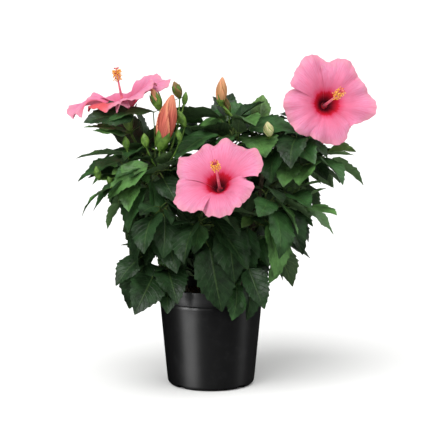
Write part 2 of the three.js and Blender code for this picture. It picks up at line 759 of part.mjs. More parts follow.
// Points of a quarter round from one angle to another, in degrees from outwards to up
function roundCorner(centreRadius, centreHeight, radius, from, to, steps) {
  return Array.from({ length: steps + 1 }, (_, i) => {
    const angle = degToRad(lerp(from, to, i / steps));
    return [centreRadius + radius * Math.cos(angle), centreHeight + radius * Math.sin(angle)];
  });
}

// Inside radius of the pot's wall below its rim
function wallInside(z) {
  return potRadius(Math.min(z, POT.height - POT.rimHeight)) - POT.wall;
}

// Tapered pot with a proud rim band, a flat underside and drain notches round its foot
function makePot() {
  const { height, rimRadius, rimHeight, shoulderRadius, baseRadius, cornerRadius, lipRound, wall } = POT;
  const rimFoot = height - rimHeight;
  const lip = height - lipRound;
  const profile = [
    [0, 0],
    ...roundCorner(baseRadius - cornerRadius, cornerRadius, cornerRadius, -90, 0, 3),
    [shoulderRadius, rimFoot],
    [rimRadius, rimFoot],
    ...roundCorner(rimRadius - lipRound, lip, lipRound, 0, 90, 2),
    ...roundCorner(rimRadius - wall + lipRound, lip, lipRound, 90, 180, 2).slice(1),
    [rimRadius - wall, rimFoot + wall],
    [wallInside(rimFoot), rimFoot],
    [wallInside(cornerRadius), cornerRadius],
    [wallInside(POT.floor) - cornerRadius / 2, POT.floor],
    [0, POT.floor],
  ];
  let pot = turned(profile);
  for (let k = 0; k < DRAIN.count; k++) {
    const notch = new THREE.BoxGeometry(DRAIN.reach, DRAIN.width, DRAIN.height * 2);
    notch.translate(baseRadius, 0, 0);
    notch.rotateZ(degToRad(DRAIN.firstAngle + (k * 360) / DRAIN.count));
    pot = pot.subtract(solidOfGeometry(notch));
  }
  return mainBody(pot);
}

// Potting soil: fills the pot, with a crumbled edge below its flat top
function makeSoil() {
  const rimFoot = POT.height - POT.rimHeight;
  const foot = POT.floor + SEAT_GAP;
  const rim = POT.rimRadius - POT.wall - SEAT_GAP;
  return turned([
    [0, foot],
    [wallInside(POT.floor) - POT.cornerRadius / 2 - SEAT_GAP, foot],
    [wallInside(POT.cornerRadius) - SEAT_GAP, POT.cornerRadius + SEAT_GAP],
    [wallInside(rimFoot) - SEAT_GAP, rimFoot + SEAT_GAP],
    [rim, rimFoot + POT.wall + 2 * SEAT_GAP],
    [rim, SOIL.top - SOIL.edgeDrop],
    [rim - SOIL.crumble, SOIL.top],
    [0, SOIL.top],
  ]);
}

// Boughs, each cut clear of its stem and of the boughs that leave the stem beside it
function makeBoughs(plant) {
  const boughs = {};
  const cutters = {};
  for (const [name, stem] of Object.entries(plant.stems)) {
    cutters[name] = [solidOfSkin(stemSkin(stem, SEAT_GAP))];
  }
  for (const [name, { shoot, bough }] of Object.entries(plant.masses)) {
    const whole = solidOfSkin(limbSkin(bough, SHOOT.boughSides, SHOOT.steps));
    const clear = cutters[shoot.stem].reduce((rest, cutter) => rest.subtract(cutter), whole);
    boughs[name] = mainBody(clear);
    const radiusAt = (t) => bough.radius(t) + SEAT_GAP;
    cutters[shoot.stem].push(solidOfSkin(limbSkin(bough, SHOOT.boughSides, SHOOT.steps, radiusAt)));
  }
  return boughs;
}

const group = new THREE.Group();
group.name = "hibiscus_shrub";

function place(name, solid, finish) {
  const mesh = solid.getMesh();
  const geometry = new THREE.BufferGeometry();
  geometry.setAttribute("position", new THREE.BufferAttribute(mesh.vertProperties, 3));
  geometry.setIndex(new THREE.BufferAttribute(mesh.triVerts, 1));
  geometry.computeVertexNormals();
  const material = new THREE.MeshStandardMaterial({ ...FINISHES[finish], flatShading: true });
  const piece = new THREE.Mesh(geometry, material);
  piece.name = name;
  group.add(piece);
}

const plant = growPlant();
place("pot", makePot(), "pot");
place("soil", makeSoil(), "soil");
for (const [name, stem] of Object.entries(plant.stems)) {
  place(`stem_${name}`, join([stemSkin(stem)]), "bark");
}
for (const [name, bough] of Object.entries(makeBoughs(plant))) {
  place(`bough_${name}`, bough, "shoot");
}
for (const [name, mass] of Object.entries(plant.masses)) {
  place(`mass_${name}`, join(mass.skins), "foliage");
}
for (const [name, skins] of Object.entries(plant.blooms)) {
  place(`bloom_${name}`, join(skins), "petals");
}

export default group;
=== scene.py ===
"""Potted hibiscus shrub: its pot, soil, wood, leaves, blooms and buds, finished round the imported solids."""
import functools
import math
from typing import NamedTuple

import bmesh
import bpy
import numpy as np
from bpy.props import FloatProperty, FloatVectorProperty, IntProperty, PointerProperty
from mathutils import Color, Matrix, Quaternion, Vector, noise
from mathutils.bvhtree import BVHTree
from mathutils.kdtree import KDTree


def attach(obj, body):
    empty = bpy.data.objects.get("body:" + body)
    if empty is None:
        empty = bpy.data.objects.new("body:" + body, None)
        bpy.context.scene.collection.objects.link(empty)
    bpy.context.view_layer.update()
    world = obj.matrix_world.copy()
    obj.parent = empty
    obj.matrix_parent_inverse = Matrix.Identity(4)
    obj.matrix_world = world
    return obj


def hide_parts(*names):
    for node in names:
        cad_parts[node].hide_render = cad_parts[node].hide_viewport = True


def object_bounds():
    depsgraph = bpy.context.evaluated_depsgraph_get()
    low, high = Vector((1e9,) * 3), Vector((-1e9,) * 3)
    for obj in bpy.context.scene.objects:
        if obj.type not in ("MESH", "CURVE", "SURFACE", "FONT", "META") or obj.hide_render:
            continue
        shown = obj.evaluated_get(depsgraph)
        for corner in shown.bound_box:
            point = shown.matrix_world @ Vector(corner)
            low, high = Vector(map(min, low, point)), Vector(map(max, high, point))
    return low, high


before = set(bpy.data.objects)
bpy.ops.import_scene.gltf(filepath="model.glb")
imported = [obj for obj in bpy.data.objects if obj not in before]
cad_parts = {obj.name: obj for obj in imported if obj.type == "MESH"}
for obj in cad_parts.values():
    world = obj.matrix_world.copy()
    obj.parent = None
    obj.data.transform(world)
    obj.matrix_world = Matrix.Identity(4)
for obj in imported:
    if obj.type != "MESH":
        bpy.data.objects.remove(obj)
CAD_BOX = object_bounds()

bl_info = {
    "name": "Potted hibiscus shrub",
    "version": (1, 0, 0),
    "blender": (4, 5, 0),
    "location": "View3D > Sidebar > Shrub",
    "description": "Finishes the packed solids of a flowering shrub in its nursery pot",
    "category": "Object",
}

MM = 0.001
UP = Vector((0, 0, 1))
NEAR = 1e-4

# The growth rule, in millimetres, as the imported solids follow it

SOIL_TOP = 112
SEAT_GAP = 0.3


class Stem(NamedTuple):
    """Foot on the soil, top, and how far the middle bows."""
    foot: tuple
    top: tuple
    bow: tuple


STEMS = {
    "left": Stem((-30, -4), (-62, -10, 262), (-8, -4)),
    "middle": Stem((2, 16), (22, 16, 272), (-8, 3)),
    "right": Stem((28, -10), (64, 2, 266), (6, -2)),
}
STEM_FOOT, STEM_TOP = 4.2, 2.7
STEM_FLARE, FLARE_SHARE = 2.2, 0.07


class Shoot(NamedTuple):
    """Fork is the share up the stem, heading turns from +X towards +Y, leaf is a full blade's length."""
    stem: str
    fork: float
    heading: float
    reach: float
    height: float
    lift: float
    leaves: int
    leaf: float
    droop: float
    seed: int


SHOOTS = {
    "left_crest": Shoot("left", 0.92, 179, 82, 283, -4, 8, 62, -21, 290),
    "left_buds": Shoot("left", 0.98, 211, 73, 267, 0, 8, 59, 3, 519),
    "left_reach": Shoot("left", 0.76, 201, 113, 266, 8, 9, 54, 27, 349),
    "left_inner": Shoot("left", 0.5, 226, 88, 227, 4, 9, 68, 52, 819),
    "left_low": Shoot("left", 0.22, 204, 93, 180, 8, 9, 67, 37, 237),
    "left_rim": Shoot("left", 0.1, 218, 79, 154, 6, 7, 71, 15, 245),
    "front_low": Shoot("middle", 0.22, 259, 81, 222, 4, 9, 73, 53, 7),
    "front_bloom": Shoot("middle", 0.42, 286, 56, 215, 2, 8, 69, 55, 190),
    "right_front": Shoot("right", 0.36, 317, 96, 230, 4, 9, 70, 54, 237),
    "right_mid": Shoot("right", 0.55, 348, 107, 226, 6, 9, 55, 22, 532),
    "right_reach": Shoot("right", 0.78, 6, 140, 277, 8, 9, 58, 26, 428),
    "right_crest": Shoot("right", 0.94, 7, 120, 302, -6, 9, 71, 25, 811),
    "right_low": Shoot("right", 0.22, 333, 74, 178, 8, 9, 57, 45, 496),
    "right_rim": Shoot("right", 0.1, 300, 68, 155, 6, 7, 71, 57, 426),
    "top_middle": Shoot("middle", 0.9, 347, 29, 319, 0, 7, 73, -5, 204),
    "top_right": Shoot("middle", 0.98, 15, 62, 315, -8, 7, 57, -6, 745),
    "back_left": Shoot("left", 0.66, 129, 92, 276, -4, 9, 74, 33, 347),
    "back_middle": Shoot("middle", 0.72, 90, 84, 307, -6, 9, 76, 9, 735),
    "back_right": Shoot("right", 0.66, 45, 103, 277, -4, 9, 84, 30, 698),
    "back_low_left": Shoot("left", 0.18, 123, 63, 197, 6, 9, 77, 40, 609),
    "back_low": Shoot("middle", 0.2, 108, 91, 169, 6, 9, 63, 58, 198),
    "back_low_right": Shoot("right", 0.2, 62, 74, 228, 6, 9, 78, 55, 532),
}
# The bough's share of a shoot, whose other part is the stem of its mass
BOUGH_SHARE = 0.42
BOUGH_FOOT, BOUGH_TIP = 2.3, 1.1
TWIG_SIDES, TWIG_STEPS = 4, 3
# The leaves' tips stay this near the middle of their mass's stem
SPACE = 108

SIDE_TWIGS, SIDE_LEAVES = 2, 2
SIDE_FIRST, SIDE_LAST = 0.12, 0.55
SIDE_REACH, SIDE_ANGLE, SIDE_WANDER, SIDE_RISE = 0.5, 44, 35, 0.12
SIDE_STRAY, SIDE_DIP = (0.8, 1.15), -0.2
SIDE_FOOT, SIDE_TIP = 1.2, 0.9

LEAF_WIDTH, LEAF_STALK = 0.66, 0.34
LEAVES_FROM, SIDE_LEAVES_FROM, LAST_LEAF_AT = 0.06, 0.5, 0.95
GOLDEN_TURN, LEAF_TRIES = 137.5, 12
# Angle to the twig at its lowest and its last leaf, and drop at the twig's foot and tip, in degrees
LEAF_ANGLE, LEAF_DROP = (76, 36), (14, -8)
LEAF_BEND, LEAF_FOLD, LEAF_BREADTH = (16, 52), (6, 24), (0.88, 1.1)
LEAF_RISE, OUTWARD, STEEP = 0.15, 0.25, 0.25
# A twig's last leaves are young, and its very last keeps these shares of a full one's size, stalk and bend
YOUNG_FROM, YOUNG_SPAN = 0.7, 0.3
YOUNG_SIZE, YOUNG_STALK, YOUNG_BEND, YOUNG_RAISED = 0.66, 0.7, 0.6, 34
# How far a leaf strays, and what each further try adds
SIZE_STRAY, STALK_STRAY, TURN_STRAY, ANGLE_STRAY, DROP_STRAY, ROLL_STRAY = 0.16, 0.3, 18, 12, 22, 28
TRY_SHRINKS, TRY_TURNS = 0.05, 14


class Petal(NamedTuple):
    """Angle from the bloom's right towards its top, half the spread and share of the radius.

    Lift and tilt raise the rim, curl folds one corner of it forward, and fold turns up a whole side.
    Both take the first side where they are below 0.
    """
    angle: float
    spread: float
    reach: float
    lift: float
    tilt: float = 0
    curl: float = 0
    fold: float = 0


class Bloom(NamedTuple):
    """Throat is the middle of the open disc, axis faces out of it, and column places its head."""
    shoot: str
    throat: tuple
    axis: tuple
    radius: float
    ruffle: float
    column: tuple
    petals: list


BLOOMS = {
    "left": Bloom("left_crest", (-108, -6, 354), (-0.24, -0.05, 0.97), 61, 3.5, (2, 2, 30), [
        Petal(20, 46, 1.02, 12, 6), Petal(92, 44, 0.85, 3), Petal(168, 40, 1.12, 2, -10, 0, 9),
        Petal(240, 44, 0.84, 2, -6), Petal(306, 46, 0.88, 7, 8)]),
    "front": Bloom("front_bloom", (8.5, -100, 264), (-0.1, -0.76, 0.64), 54, 4, (-1, 3, 27), [
        Petal(58, 48, 1.1, 1), Petal(136, 46, 1.02, 0), Petal(214, 38, 1.04, 0), Petal(279, 40, 0.9, 0),
        Petal(338, 36, 0.78, -4)]),
    "right": Bloom("right_crest", (140, -30, 347), (0.16, -0.95, 0.22), 57, 4, (6, 7, 40), [
        Petal(56, 44, 1, -1), Petal(115, 42, 1.04, 3, 3), Petal(196, 46, 0.94, 0, -2),
        Petal(274, 40, 0.88, 1, 2), Petal(355, 44, 1.02, 0, 0, -6)]),
}
PETAL_DEPTH, PETAL_REFLEX = 24, 7
WIDENS_BY, THROAT_SHARE = 0.4, 0.06
CORNER_CUT, LOBE, OVERLAP = 0.2, 0.045, 1.6
CALYX_LENGTH, CALYX_RADIUS = 24, 6.2
FLOWER_STALK = 1.5


class Bud(NamedTuple):
    """A bud at the tip of a shoot: its stalk's length, tilt and heading, then its own lean and size.

    High sets how far up it is widest.
    """
    shoot: str
    stalk: float
    tilt: float
    heading: float
    lean: float
    length: float
    width: float
    high: float


BUDS = {
    "coral": Bud("left_buds", 28, 6, 0, 13, 68, 23, 0.95),
    "peach": Bud("top_middle", 31, 45, 180, -4, 34, 14, 0.8),
    "cream": Bud("back_left", 16, 20, 90, 14, 30, 13, 0.8),
}

# A packed vertex this near, in millimetres, shows that a leaf or twig of the rule was kept
HELD = 0.08


def lerp(a, b, share):
    return a + (b - a) * share


def smoothstep(value, low, high):
    share = np.clip((value - low) / (high - low), 0, 1)
    return share * share * (3 - 2 * share)


def across_to(direction):
    other = Vector((1, 0, 0)) if abs(direction.z) > 0.9 else UP
    return direction.cross(other).normalized()


def turned(vector, axis, angle):
    return Quaternion(axis, angle) @ vector


def nearest_start(limbs, shares, place):
    """Where a stalk to a place starts: the nearest of the limbs' points at these shares."""
    starts = (limb.point(t) for limb in limbs for t in shares)
    return min(starts, key=lambda point: (point - place).length)


def random_stream(seed):
    """The same numbers from 0 to 1 for the same seed."""
    whole = 0xFFFFFFFF
    state = seed & whole
    while True:
        state = (state + 0x6D2B79F5) & whole
        n = (state ^ (state >> 15)) * (state | 1) & whole
        n ^= (n + ((n ^ (n >> 7)) * (n | 61) & whole)) & whole
        yield (n ^ (n >> 14)) / 4294967296


class Limb:
    """A curved limb that tapers evenly from its foot to its tip."""

    def __init__(self, foot, middle, tip, foot_radius, tip_radius):
        self.foot, self.middle, self.tip = foot, middle, tip
        self.foot_radius, self.tip_radius = foot_radius, tip_radius

    def point(self, t):
        return self.foot * (1 - t) ** 2 + self.middle * (2 * t * (1 - t)) + self.tip * t ** 2

    def tangent(self, t):
        near_end = 5e-5
        t = min(max(t, near_end), 1 - near_end)
        return ((self.middle - self.foot) * (1 - t) + (self.tip - self.middle) * t).normalized()

    def radius(self, t):
        return lerp(self.foot_radius, self.tip_radius, t)

    def length(self):
        steps = 200
        points = [self.point(i / steps) for i in range(steps + 1)]
        return sum((b - a).length for a, b in zip(points, points[1:]))

    def stretch(self, start, end):
        """The part of the limb between two shares of it."""
        def blend(s, t):
            bow = s * (1 - t) + t * (1 - s)
            return self.foot * ((1 - s) * (1 - t)) + self.middle * bow + self.tip * (s * t)
        radii = self.radius(start), self.radius(end)
        return Limb(blend(start, start), blend(start, end), blend(end, end), *radii)

    def frames(self, steps):
        """Centre and two directions across the limb at each step."""
        rows = []
        normal = across_to(self.tangent(0))
        for i in range(steps + 1):
            direction = self.tangent(i / steps)
            normal = (normal - direction * normal.dot(direction)).normalized()
            rows.append((self.point(i / steps), normal, direction.cross(normal)))
        return rows


class Twig(NamedTuple):
    """A limb with so many leaves, from a share of it on."""
    limb: Limb
    leaves: int
    leaf_from: float


class Leaf(NamedTuple):
    """Size, stalk, a blade's three directions, its bend and fold in radians, its youth and its own draw."""
    size: float
    width: float
    root: Vector
    neck: Vector
    forward: Vector
    side: Vector
    upper: Vector
    bend: float
    fold: float
    young: float
    tone: float


def grow_stem(stem):
    foot = Vector((*stem.foot, SOIL_TOP + SEAT_GAP))
    top = Vector(stem.top)
    return Limb(foot, foot.lerp(top, 0.5) + Vector((*stem.bow, 0)), top, STEM_FOOT, STEM_TOP)


def grow_shoot(shoot, stem):
    foot = stem.point(shoot.fork)
    heading = math.radians(shoot.heading)
    tip = Vector((shoot.reach * math.cos(heading), shoot.reach * math.sin(heading), shoot.height))
    return Limb(foot, foot.lerp(tip, 0.5) + UP * shoot.lift, tip, BOUGH_FOOT, BOUGH_TIP)


def side_twig(shoot, stem, order, count=SIDE_TWIGS, leaves=SIDE_LEAVES, reach_share=SIDE_REACH):
    """A twig that branches from the stem of its mass, by the shoot's own seed."""
    random = random_stream(shoot.seed * 8192 + order)
    t = lerp(SIDE_FIRST, SIDE_LAST, order % count / (count - 1))
    foot, direction = stem.point(t), stem.tangent(t)
    wander = lerp(-SIDE_WANDER, SIDE_WANDER, next(random))
    turn = math.radians(shoot.seed * 61 + order * 180 + wander)
    radial = turned(across_to(direction), direction, turn)
    radial.z = max(radial.z, SIDE_DIP)
    angle = math.radians(SIDE_ANGLE)
    out = direction * math.cos(angle) + radial * math.sin(angle)
    reach = stem.length() * reach_share * lerp(*SIDE_STRAY, next(random))
    tip = foot + out * reach + UP * (reach * SIDE_RISE)
    return Twig(Limb(foot, foot + out * (reach / 2), tip, SIDE_FOOT, SIDE_TIP), leaves, SIDE_LEAVES_FROM)


def grow_leaf(shoot, twig, order, share, attempt, scale=1):
    """One leaf of a twig. Share runs from 0 at its lowest leaf to 1 at its tip."""
    random = random_stream(shoot.seed * 4096 + order * 64 + attempt)

    def spread(reach):
        return lerp(-reach, reach, next(random))

    t = lerp(twig.leaf_from, LAST_LEAF_AT, share)
    young = max(0, (share - YOUNG_FROM) / YOUNG_SPAN)
    shrink = lerp(1, YOUNG_SIZE, young * young) * (1 - TRY_SHRINKS * attempt) * scale
    size = shoot.leaf * shrink * (1 + spread(SIZE_STRAY))
    root, direction = twig.limb.point(t), twig.limb.tangent(t)
    stray = spread(TURN_STRAY + TRY_TURNS * attempt)
    turn = math.radians(order * GOLDEN_TURN + shoot.seed * 47 + stray)
    radial = turned(across_to(direction), direction, turn)
    angle = math.radians(lerp(*LEAF_ANGLE, share) + spread(ANGLE_STRAY))
    out = direction * math.cos(angle) + radial * math.sin(angle)
    out.z += LEAF_RISE
    out.normalize()
    stalk = size * LEAF_STALK * (1 + spread(STALK_STRAY)) * lerp(1, YOUNG_STALK, young)
    neck = root + out * stalk
    level = radial if math.hypot(out.x, out.y) < STEEP else out
    level = Vector((level.x, level.y, 0)).normalized()
    drop = math.radians(shoot.droop + lerp(*LEAF_DROP, t) - YOUNG_RAISED * young + spread(DROP_STRAY))
    forward = (level * math.cos(drop) - UP * math.sin(drop) + out * OUTWARD).normalized()
    side = turned(UP.cross(forward).normalized(), forward, math.radians(spread(ROLL_STRAY)))
    upper = forward.cross(side).normalized()
    bend = math.radians(lerp(*LEAF_BEND, next(random)) * lerp(1, YOUNG_BEND, young))
    fold = math.radians(lerp(*LEAF_FOLD, next(random)))
    width = size * LEAF_WIDTH * lerp(*LEAF_BREADTH, next(random))
    return Leaf(size, width, root, neck, forward, side, upper, bend, fold, young, next(random))


def blade_points(leaf, share, place, half, off):
    """Points of the blade: share along the midrib, place across, half width and height off it."""
    angle = leaf.bend * share
    arc = leaf.size / leaf.bend
    forward, side, upper = (np.array(v) for v in (leaf.forward, leaf.side, leaf.upper))
    normal = np.outer(np.cos(angle), upper) + np.outer(np.sin(angle), forward)
    points = np.array(leaf.neck) + np.outer(arc * np.sin(angle), forward)
    points -= np.outer(arc * (1 - np.cos(angle)), upper)
    points += np.outer(place * half * math.cos(leaf.fold), side)
    return points + normal * (np.abs(place) * half * math.sin(leaf.fold) + off)[:, None]


def blade_tip(leaf):
    one, none = np.ones(1), np.zeros(1)
    return Vector(blade_points(leaf, one, none, none, none)[0])


class Solid:
    """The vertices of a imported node, which show what of the rule it holds."""

    def __init__(self, node):
        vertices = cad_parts[node].data.vertices
        self.tree = KDTree(len(vertices))
        for i, vertex in enumerate(vertices):
            self.tree.insert(vertex.co, i)
        self.tree.balance()

    def holds(self, point):
        return self.tree.find(point * MM)[2] < HELD * MM

    def holds_twig(self, limb):
        centre, normal, other = limb.frames(TWIG_STEPS)[-1]
        angles = [2 * math.pi * k / TWIG_SIDES for k in range(TWIG_SIDES)]
        ring = [centre + (normal * math.cos(a) + other * math.sin(a)) * limb.tip_radius for a in angles]
        return sum(self.holds(point) for point in ring) > 1


class Mass(NamedTuple):
    """A shoot with its bough, its twigs, the first of which is its stem, and their leaves."""
    shoot: Shoot
    bough: Limb
    twigs: list
    leaves: list


@functools.cache
def plant():
    """Stems by name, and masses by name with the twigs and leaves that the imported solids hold."""
    stems = {name: grow_stem(stem) for name, stem in STEMS.items()}
    masses = {}
    for name, shoot in SHOOTS.items():
        limb = grow_shoot(shoot, stems[shoot.stem])
        solid = Solid(f"mass_{name}")
        gap = SEAT_GAP / limb.length()
        twigs = [Twig(limb.stretch(BOUGH_SHARE + gap, 1), shoot.leaves, LEAVES_FROM)]
        for order in range(SIDE_TWIGS):
            twig = side_twig(shoot, twigs[0].limb, order)
            if solid.holds_twig(twig.limb):
                twigs.append(twig)
        places = [(twig, i / (twig.leaves - 1)) for twig in twigs for i in range(twig.leaves)]
        leaves = []
        for order, (twig, share) in enumerate(places):
            tries = (grow_leaf(shoot, twig, order, share, attempt) for attempt in range(LEAF_TRIES))
            leaves += [leaf for leaf in tries if solid.holds(blade_tip(leaf))][:1]
        masses[name] = Mass(shoot, limb.stretch(0, BOUGH_SHARE), twigs, leaves)
    return stems, masses


# Small shapes that are repeated: a few numbers for each vertex, which each copy turns into a place

SURFACE_MAP = "surface"
# A blade takes this much of its map to each side of the midrib
MAP_HALF = 0.45
TOOTHED_FROM, TOOTH_LEAN = -0.5, 0.6
TOOTH, THICK, ARCH, WAVE, SWAY = 0.042, 0.008, 0.026, 0.03, 0.04
BLADE_FULLEST, BLADE_ROUND = 0.62, 0.85
# Turns of the wave along a blade in radians, its shift by the leaf's draw, and between the two sides
WAVE_TURNS, WAVE_SHIFT, SIDE_SHIFT = 13, 40, 1.3
SHARP_FROM = 60


class Shape(NamedTuple):
    """Place across or round, share along, a tooth's mark, which are under; then faces and finishes."""
    place: np.ndarray
    share: np.ndarray
    mark: np.ndarray
    under: np.ndarray
    faces: list
    finishes: np.ndarray


def read_shape(bm, place, share, mark=None):
    bm.verts.index_update()
    under = np.array([v.co.z < -0.5 for v in bm.verts])
    marks = np.array([v[mark] if mark else 0.0 for v in bm.verts])
    faces = [[v.index for v in face.verts] for face in bm.faces]
    finishes = np.array([face.material_index for face in bm.faces])
    shape = Shape(np.array([place(v.co) for v in bm.verts]), np.array([share(v.co) for v in bm.verts]),
                  marks, under, faces, finishes)
    bm.free()
    return shape


@functools.cache
def blade_shape(rows, toothed):
    """A closed blade with a vertex at each tooth. Its under side has its own finish and fewer faces."""
    bm = bmesh.new()
    bmesh.ops.create_grid(bm, x_segments=4, y_segments=rows, size=1)
    tooth = bm.verts.layers.float.new("tooth")
    if toothed:
        rims = [e for e in bm.edges if abs(sum(v.co.x for v in e.verts)) > 1.9
                and min(v.co.y for v in e.verts) > TOOTHED_FROM]
        for v in bmesh.ops.bisect_edges(bm, edges=rims, cuts=1)["geom_split"]:
            if isinstance(v, bmesh.types.BMVert):
                v[tooth] = 1
                v.co.y += TOOTH_LEAN / rows
    for end in (-1, 1):
        row = [v for v in bm.verts if abs(v.co.y - end) < NEAR]
        bmesh.ops.pointmerge(bm, verts=row, merge_co=(0, end, 0))
    doubled = bmesh.ops.duplicate(bm, geom=bm.verts[:] + bm.edges[:] + bm.faces[:])["geom"]
    under = [f for f in doubled if isinstance(f, bmesh.types.BMFace)]
    bmesh.ops.reverse_faces(bm, faces=under)
    for face in under:
        face.material_index = 1
    for v in {v for face in under for v in face.verts if abs(v.co.x) < 0.9 and abs(v.co.y) < 0.99}:
        v.co.z = -1

    def halfway(edge):
        """True where a lengthwise edge lies between the midrib and the rim."""
        a, b = edge.verts
        inside = abs(a.co.x) != 1 and abs(b.co.x) != 1
        beside = any(abs(abs(v.co.x) - 0.5) < NEAR for v in edge.verts)
        return inside and beside and abs(a.co.y - b.co.y) > NEAR

    middles = {e for face in under for e in face.edges if halfway(e)}
    bmesh.ops.dissolve_edges(bm, edges=list(middles), use_verts=True)
    bmesh.ops.triangulate(bm, faces=[face for face in bm.faces if len(face.verts) > 4])
    bmesh.ops.remove_doubles(bm, verts=bm.verts[:], dist=NEAR)
    return read_shape(bm, lambda co: co.x, lambda co: (co.y + 1) / 2, tooth)


@functools.cache
def tube_shape(sides, steps):
    """A closed tube: place is the angle round it and share the step along it."""
    bm = bmesh.new()
    bmesh.ops.create_cone(bm, cap_ends=True, segments=sides, radius1=1, radius2=1, depth=1)
    uprights = [e for e in bm.edges if abs(e.verts[0].co.z - e.verts[1].co.z) > 0.5]
    if steps > 1:
        bmesh.ops.subdivide_edges(bm, edges=uprights, cuts=steps - 1)
    return read_shape(bm, lambda co: math.atan2(co.y, co.x), lambda co: co.z + 0.5)


@functools.cache
def grain_shape():
    """A rough ball of twenty faces, for crumbs, anthers and stigmas."""
    bm = bmesh.new()
    bmesh.ops.create_icosphere(bm, subdivisions=1, radius=1)
    points = np.array([v.co for v in bm.verts])
    faces = [[v.index for v in face.verts] for face in bm.faces]
    bm.free()
    return points, faces


class Batch:
    """Many small shapes joined into one mesh, in millimetres."""

    def __init__(self):
        self.points, self.faces, self.finishes, self.maps = [], [], [], []
        self.count = 0

    def add(self, points, faces, finishes, across=None, along=None):
        self.points.append(points)
        self.faces += [[self.count + i for i in face] for face in faces]
        self.finishes.append(np.broadcast_to(finishes, len(faces)))
        none = np.zeros(len(points))
        columns = [none if column is None else column for column in (across, along)]
        self.maps.append(np.column_stack(columns))
        self.count += len(points)

    def tube(self, limb, shape, finish, radius_of=None):
        """Radius_of takes the angle round the limb and the share along it, as arrays."""
        steps = round(1 / min(s for s in shape.share if s > 1e-6))
        rows = limb.frames(steps)
        index = np.rint(shape.share * steps).astype(int)
        centres, normals, others = (np.array([row[k] for row in rows])[index] for k in range(3))
        if radius_of is None:
            radius = lerp(limb.foot_radius, limb.tip_radius, shape.share)
        else:
            radius = radius_of(shape.place, shape.share)
        out = normals * np.cos(shape.place)[:, None] + others * np.sin(shape.place)[:, None]
        round_it = shape.place / math.tau + 0.5
        self.add(centres + out * radius[:, None], shape.faces, finish, round_it, shape.share)

    def leaf(self, leaf, shape, finish, under_finish):
        points = leaf_points(leaf, shape)
        finishes = np.where(shape.finishes == 1, under_finish, finish)
        self.add(points, shape.faces, finishes, 0.5 + MAP_HALF * shape.place, shape.share)

    def grain(self, centre, turn, sizes, finish):
        points, faces = grain_shape()
        turned_points = (points * np.array(sizes)) @ np.array(turn.to_matrix()).T
        self.add(turned_points + np.array(centre), faces, finish)

    def piece(self, name, materials, slot, *nodes):
        mesh = bpy.data.meshes.new(name)
        mesh.from_pydata(np.concatenate(self.points) * MM, [], self.faces)
        mesh.polygons.foreach_set("material_index", np.concatenate(self.finishes).astype(np.int32))
        loops = np.empty(len(mesh.loops), np.int32)
        mesh.loops.foreach_get("vertex_index", loops)
        layer = mesh.uv_layers.new(name=SURFACE_MAP)
        layer.uv.foreach_set("vector", np.concatenate(self.maps)[loops].astype(np.float32).ravel())
        return finished(mesh, materials, slot, *nodes)


def finished(mesh, materials, slot, *nodes, sharp=SHARP_FROM):
    """Makes a piece of a mesh that is in its place, hangs it from the root body and hides the imported nodes
    that it stands for.
    """
    for material in materials:
        mesh.materials.append(material)
    mesh.polygons.foreach_set("use_smooth", [True] * len(mesh.polygons))
    mesh.set_sharp_from_angle(angle=math.radians(sharp))
    mesh.validate()
    piece = bpy.data.objects.new(mesh.name, mesh)
    bpy.context.scene.collection.objects.link(piece)
    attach(piece, "root")
    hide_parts(*nodes)
    return piece


def piece_of(bm, name, materials, slot, *nodes, sharp=SHARP_FROM):
    mesh = bpy.data.meshes.new(name)
    bm.to_mesh(mesh)
    bm.free()
    return finished(mesh, materials, slot, *nodes, sharp=sharp)


def sheen_receivers():
    """The collection of the pieces that the strip lights shine on."""
    name = "sheen_receivers"
    return bpy.data.collections.get(name) or bpy.data.collections.new(name)


def blade_profile(share):
    """Half width of a blade, from 0 to 1, at a share along it."""
    return np.sin(np.pi * np.clip(share, 0, 1) ** BLADE_FULLEST).clip(0) ** BLADE_ROUND


def leaf_points(leaf, shape):
    share, place = shape.share, shape.place
    bulge = np.sin(np.pi * share).clip(0)
    half = leaf.width / 2 * blade_profile(share) + shape.mark * leaf.size * TOOTH * bulge
    beside = np.abs(place)
    arch = 4 * beside * (1 - beside) * ARCH * blade_profile(share)
    turn = share * WAVE_TURNS + leaf.tone * WAVE_SHIFT + SIDE_SHIFT * np.sign(place)
    wave = WAVE * beside * bulge * np.sin(turn)
    off = np.where(shape.under, -THICK * bulge, arch + wave) * leaf.size
    sway = SWAY * (2 * leaf.tone - 1) * leaf.size * bulge
    return blade_points(leaf, share, place, half, off) + np.outer(sway, np.array(leaf.side))


# Procedural finishes

def srgb(red, green, blue):
    return (*Color((red / 255, green / 255, blue / 255)).from_srgb_to_scene_linear(), 1)


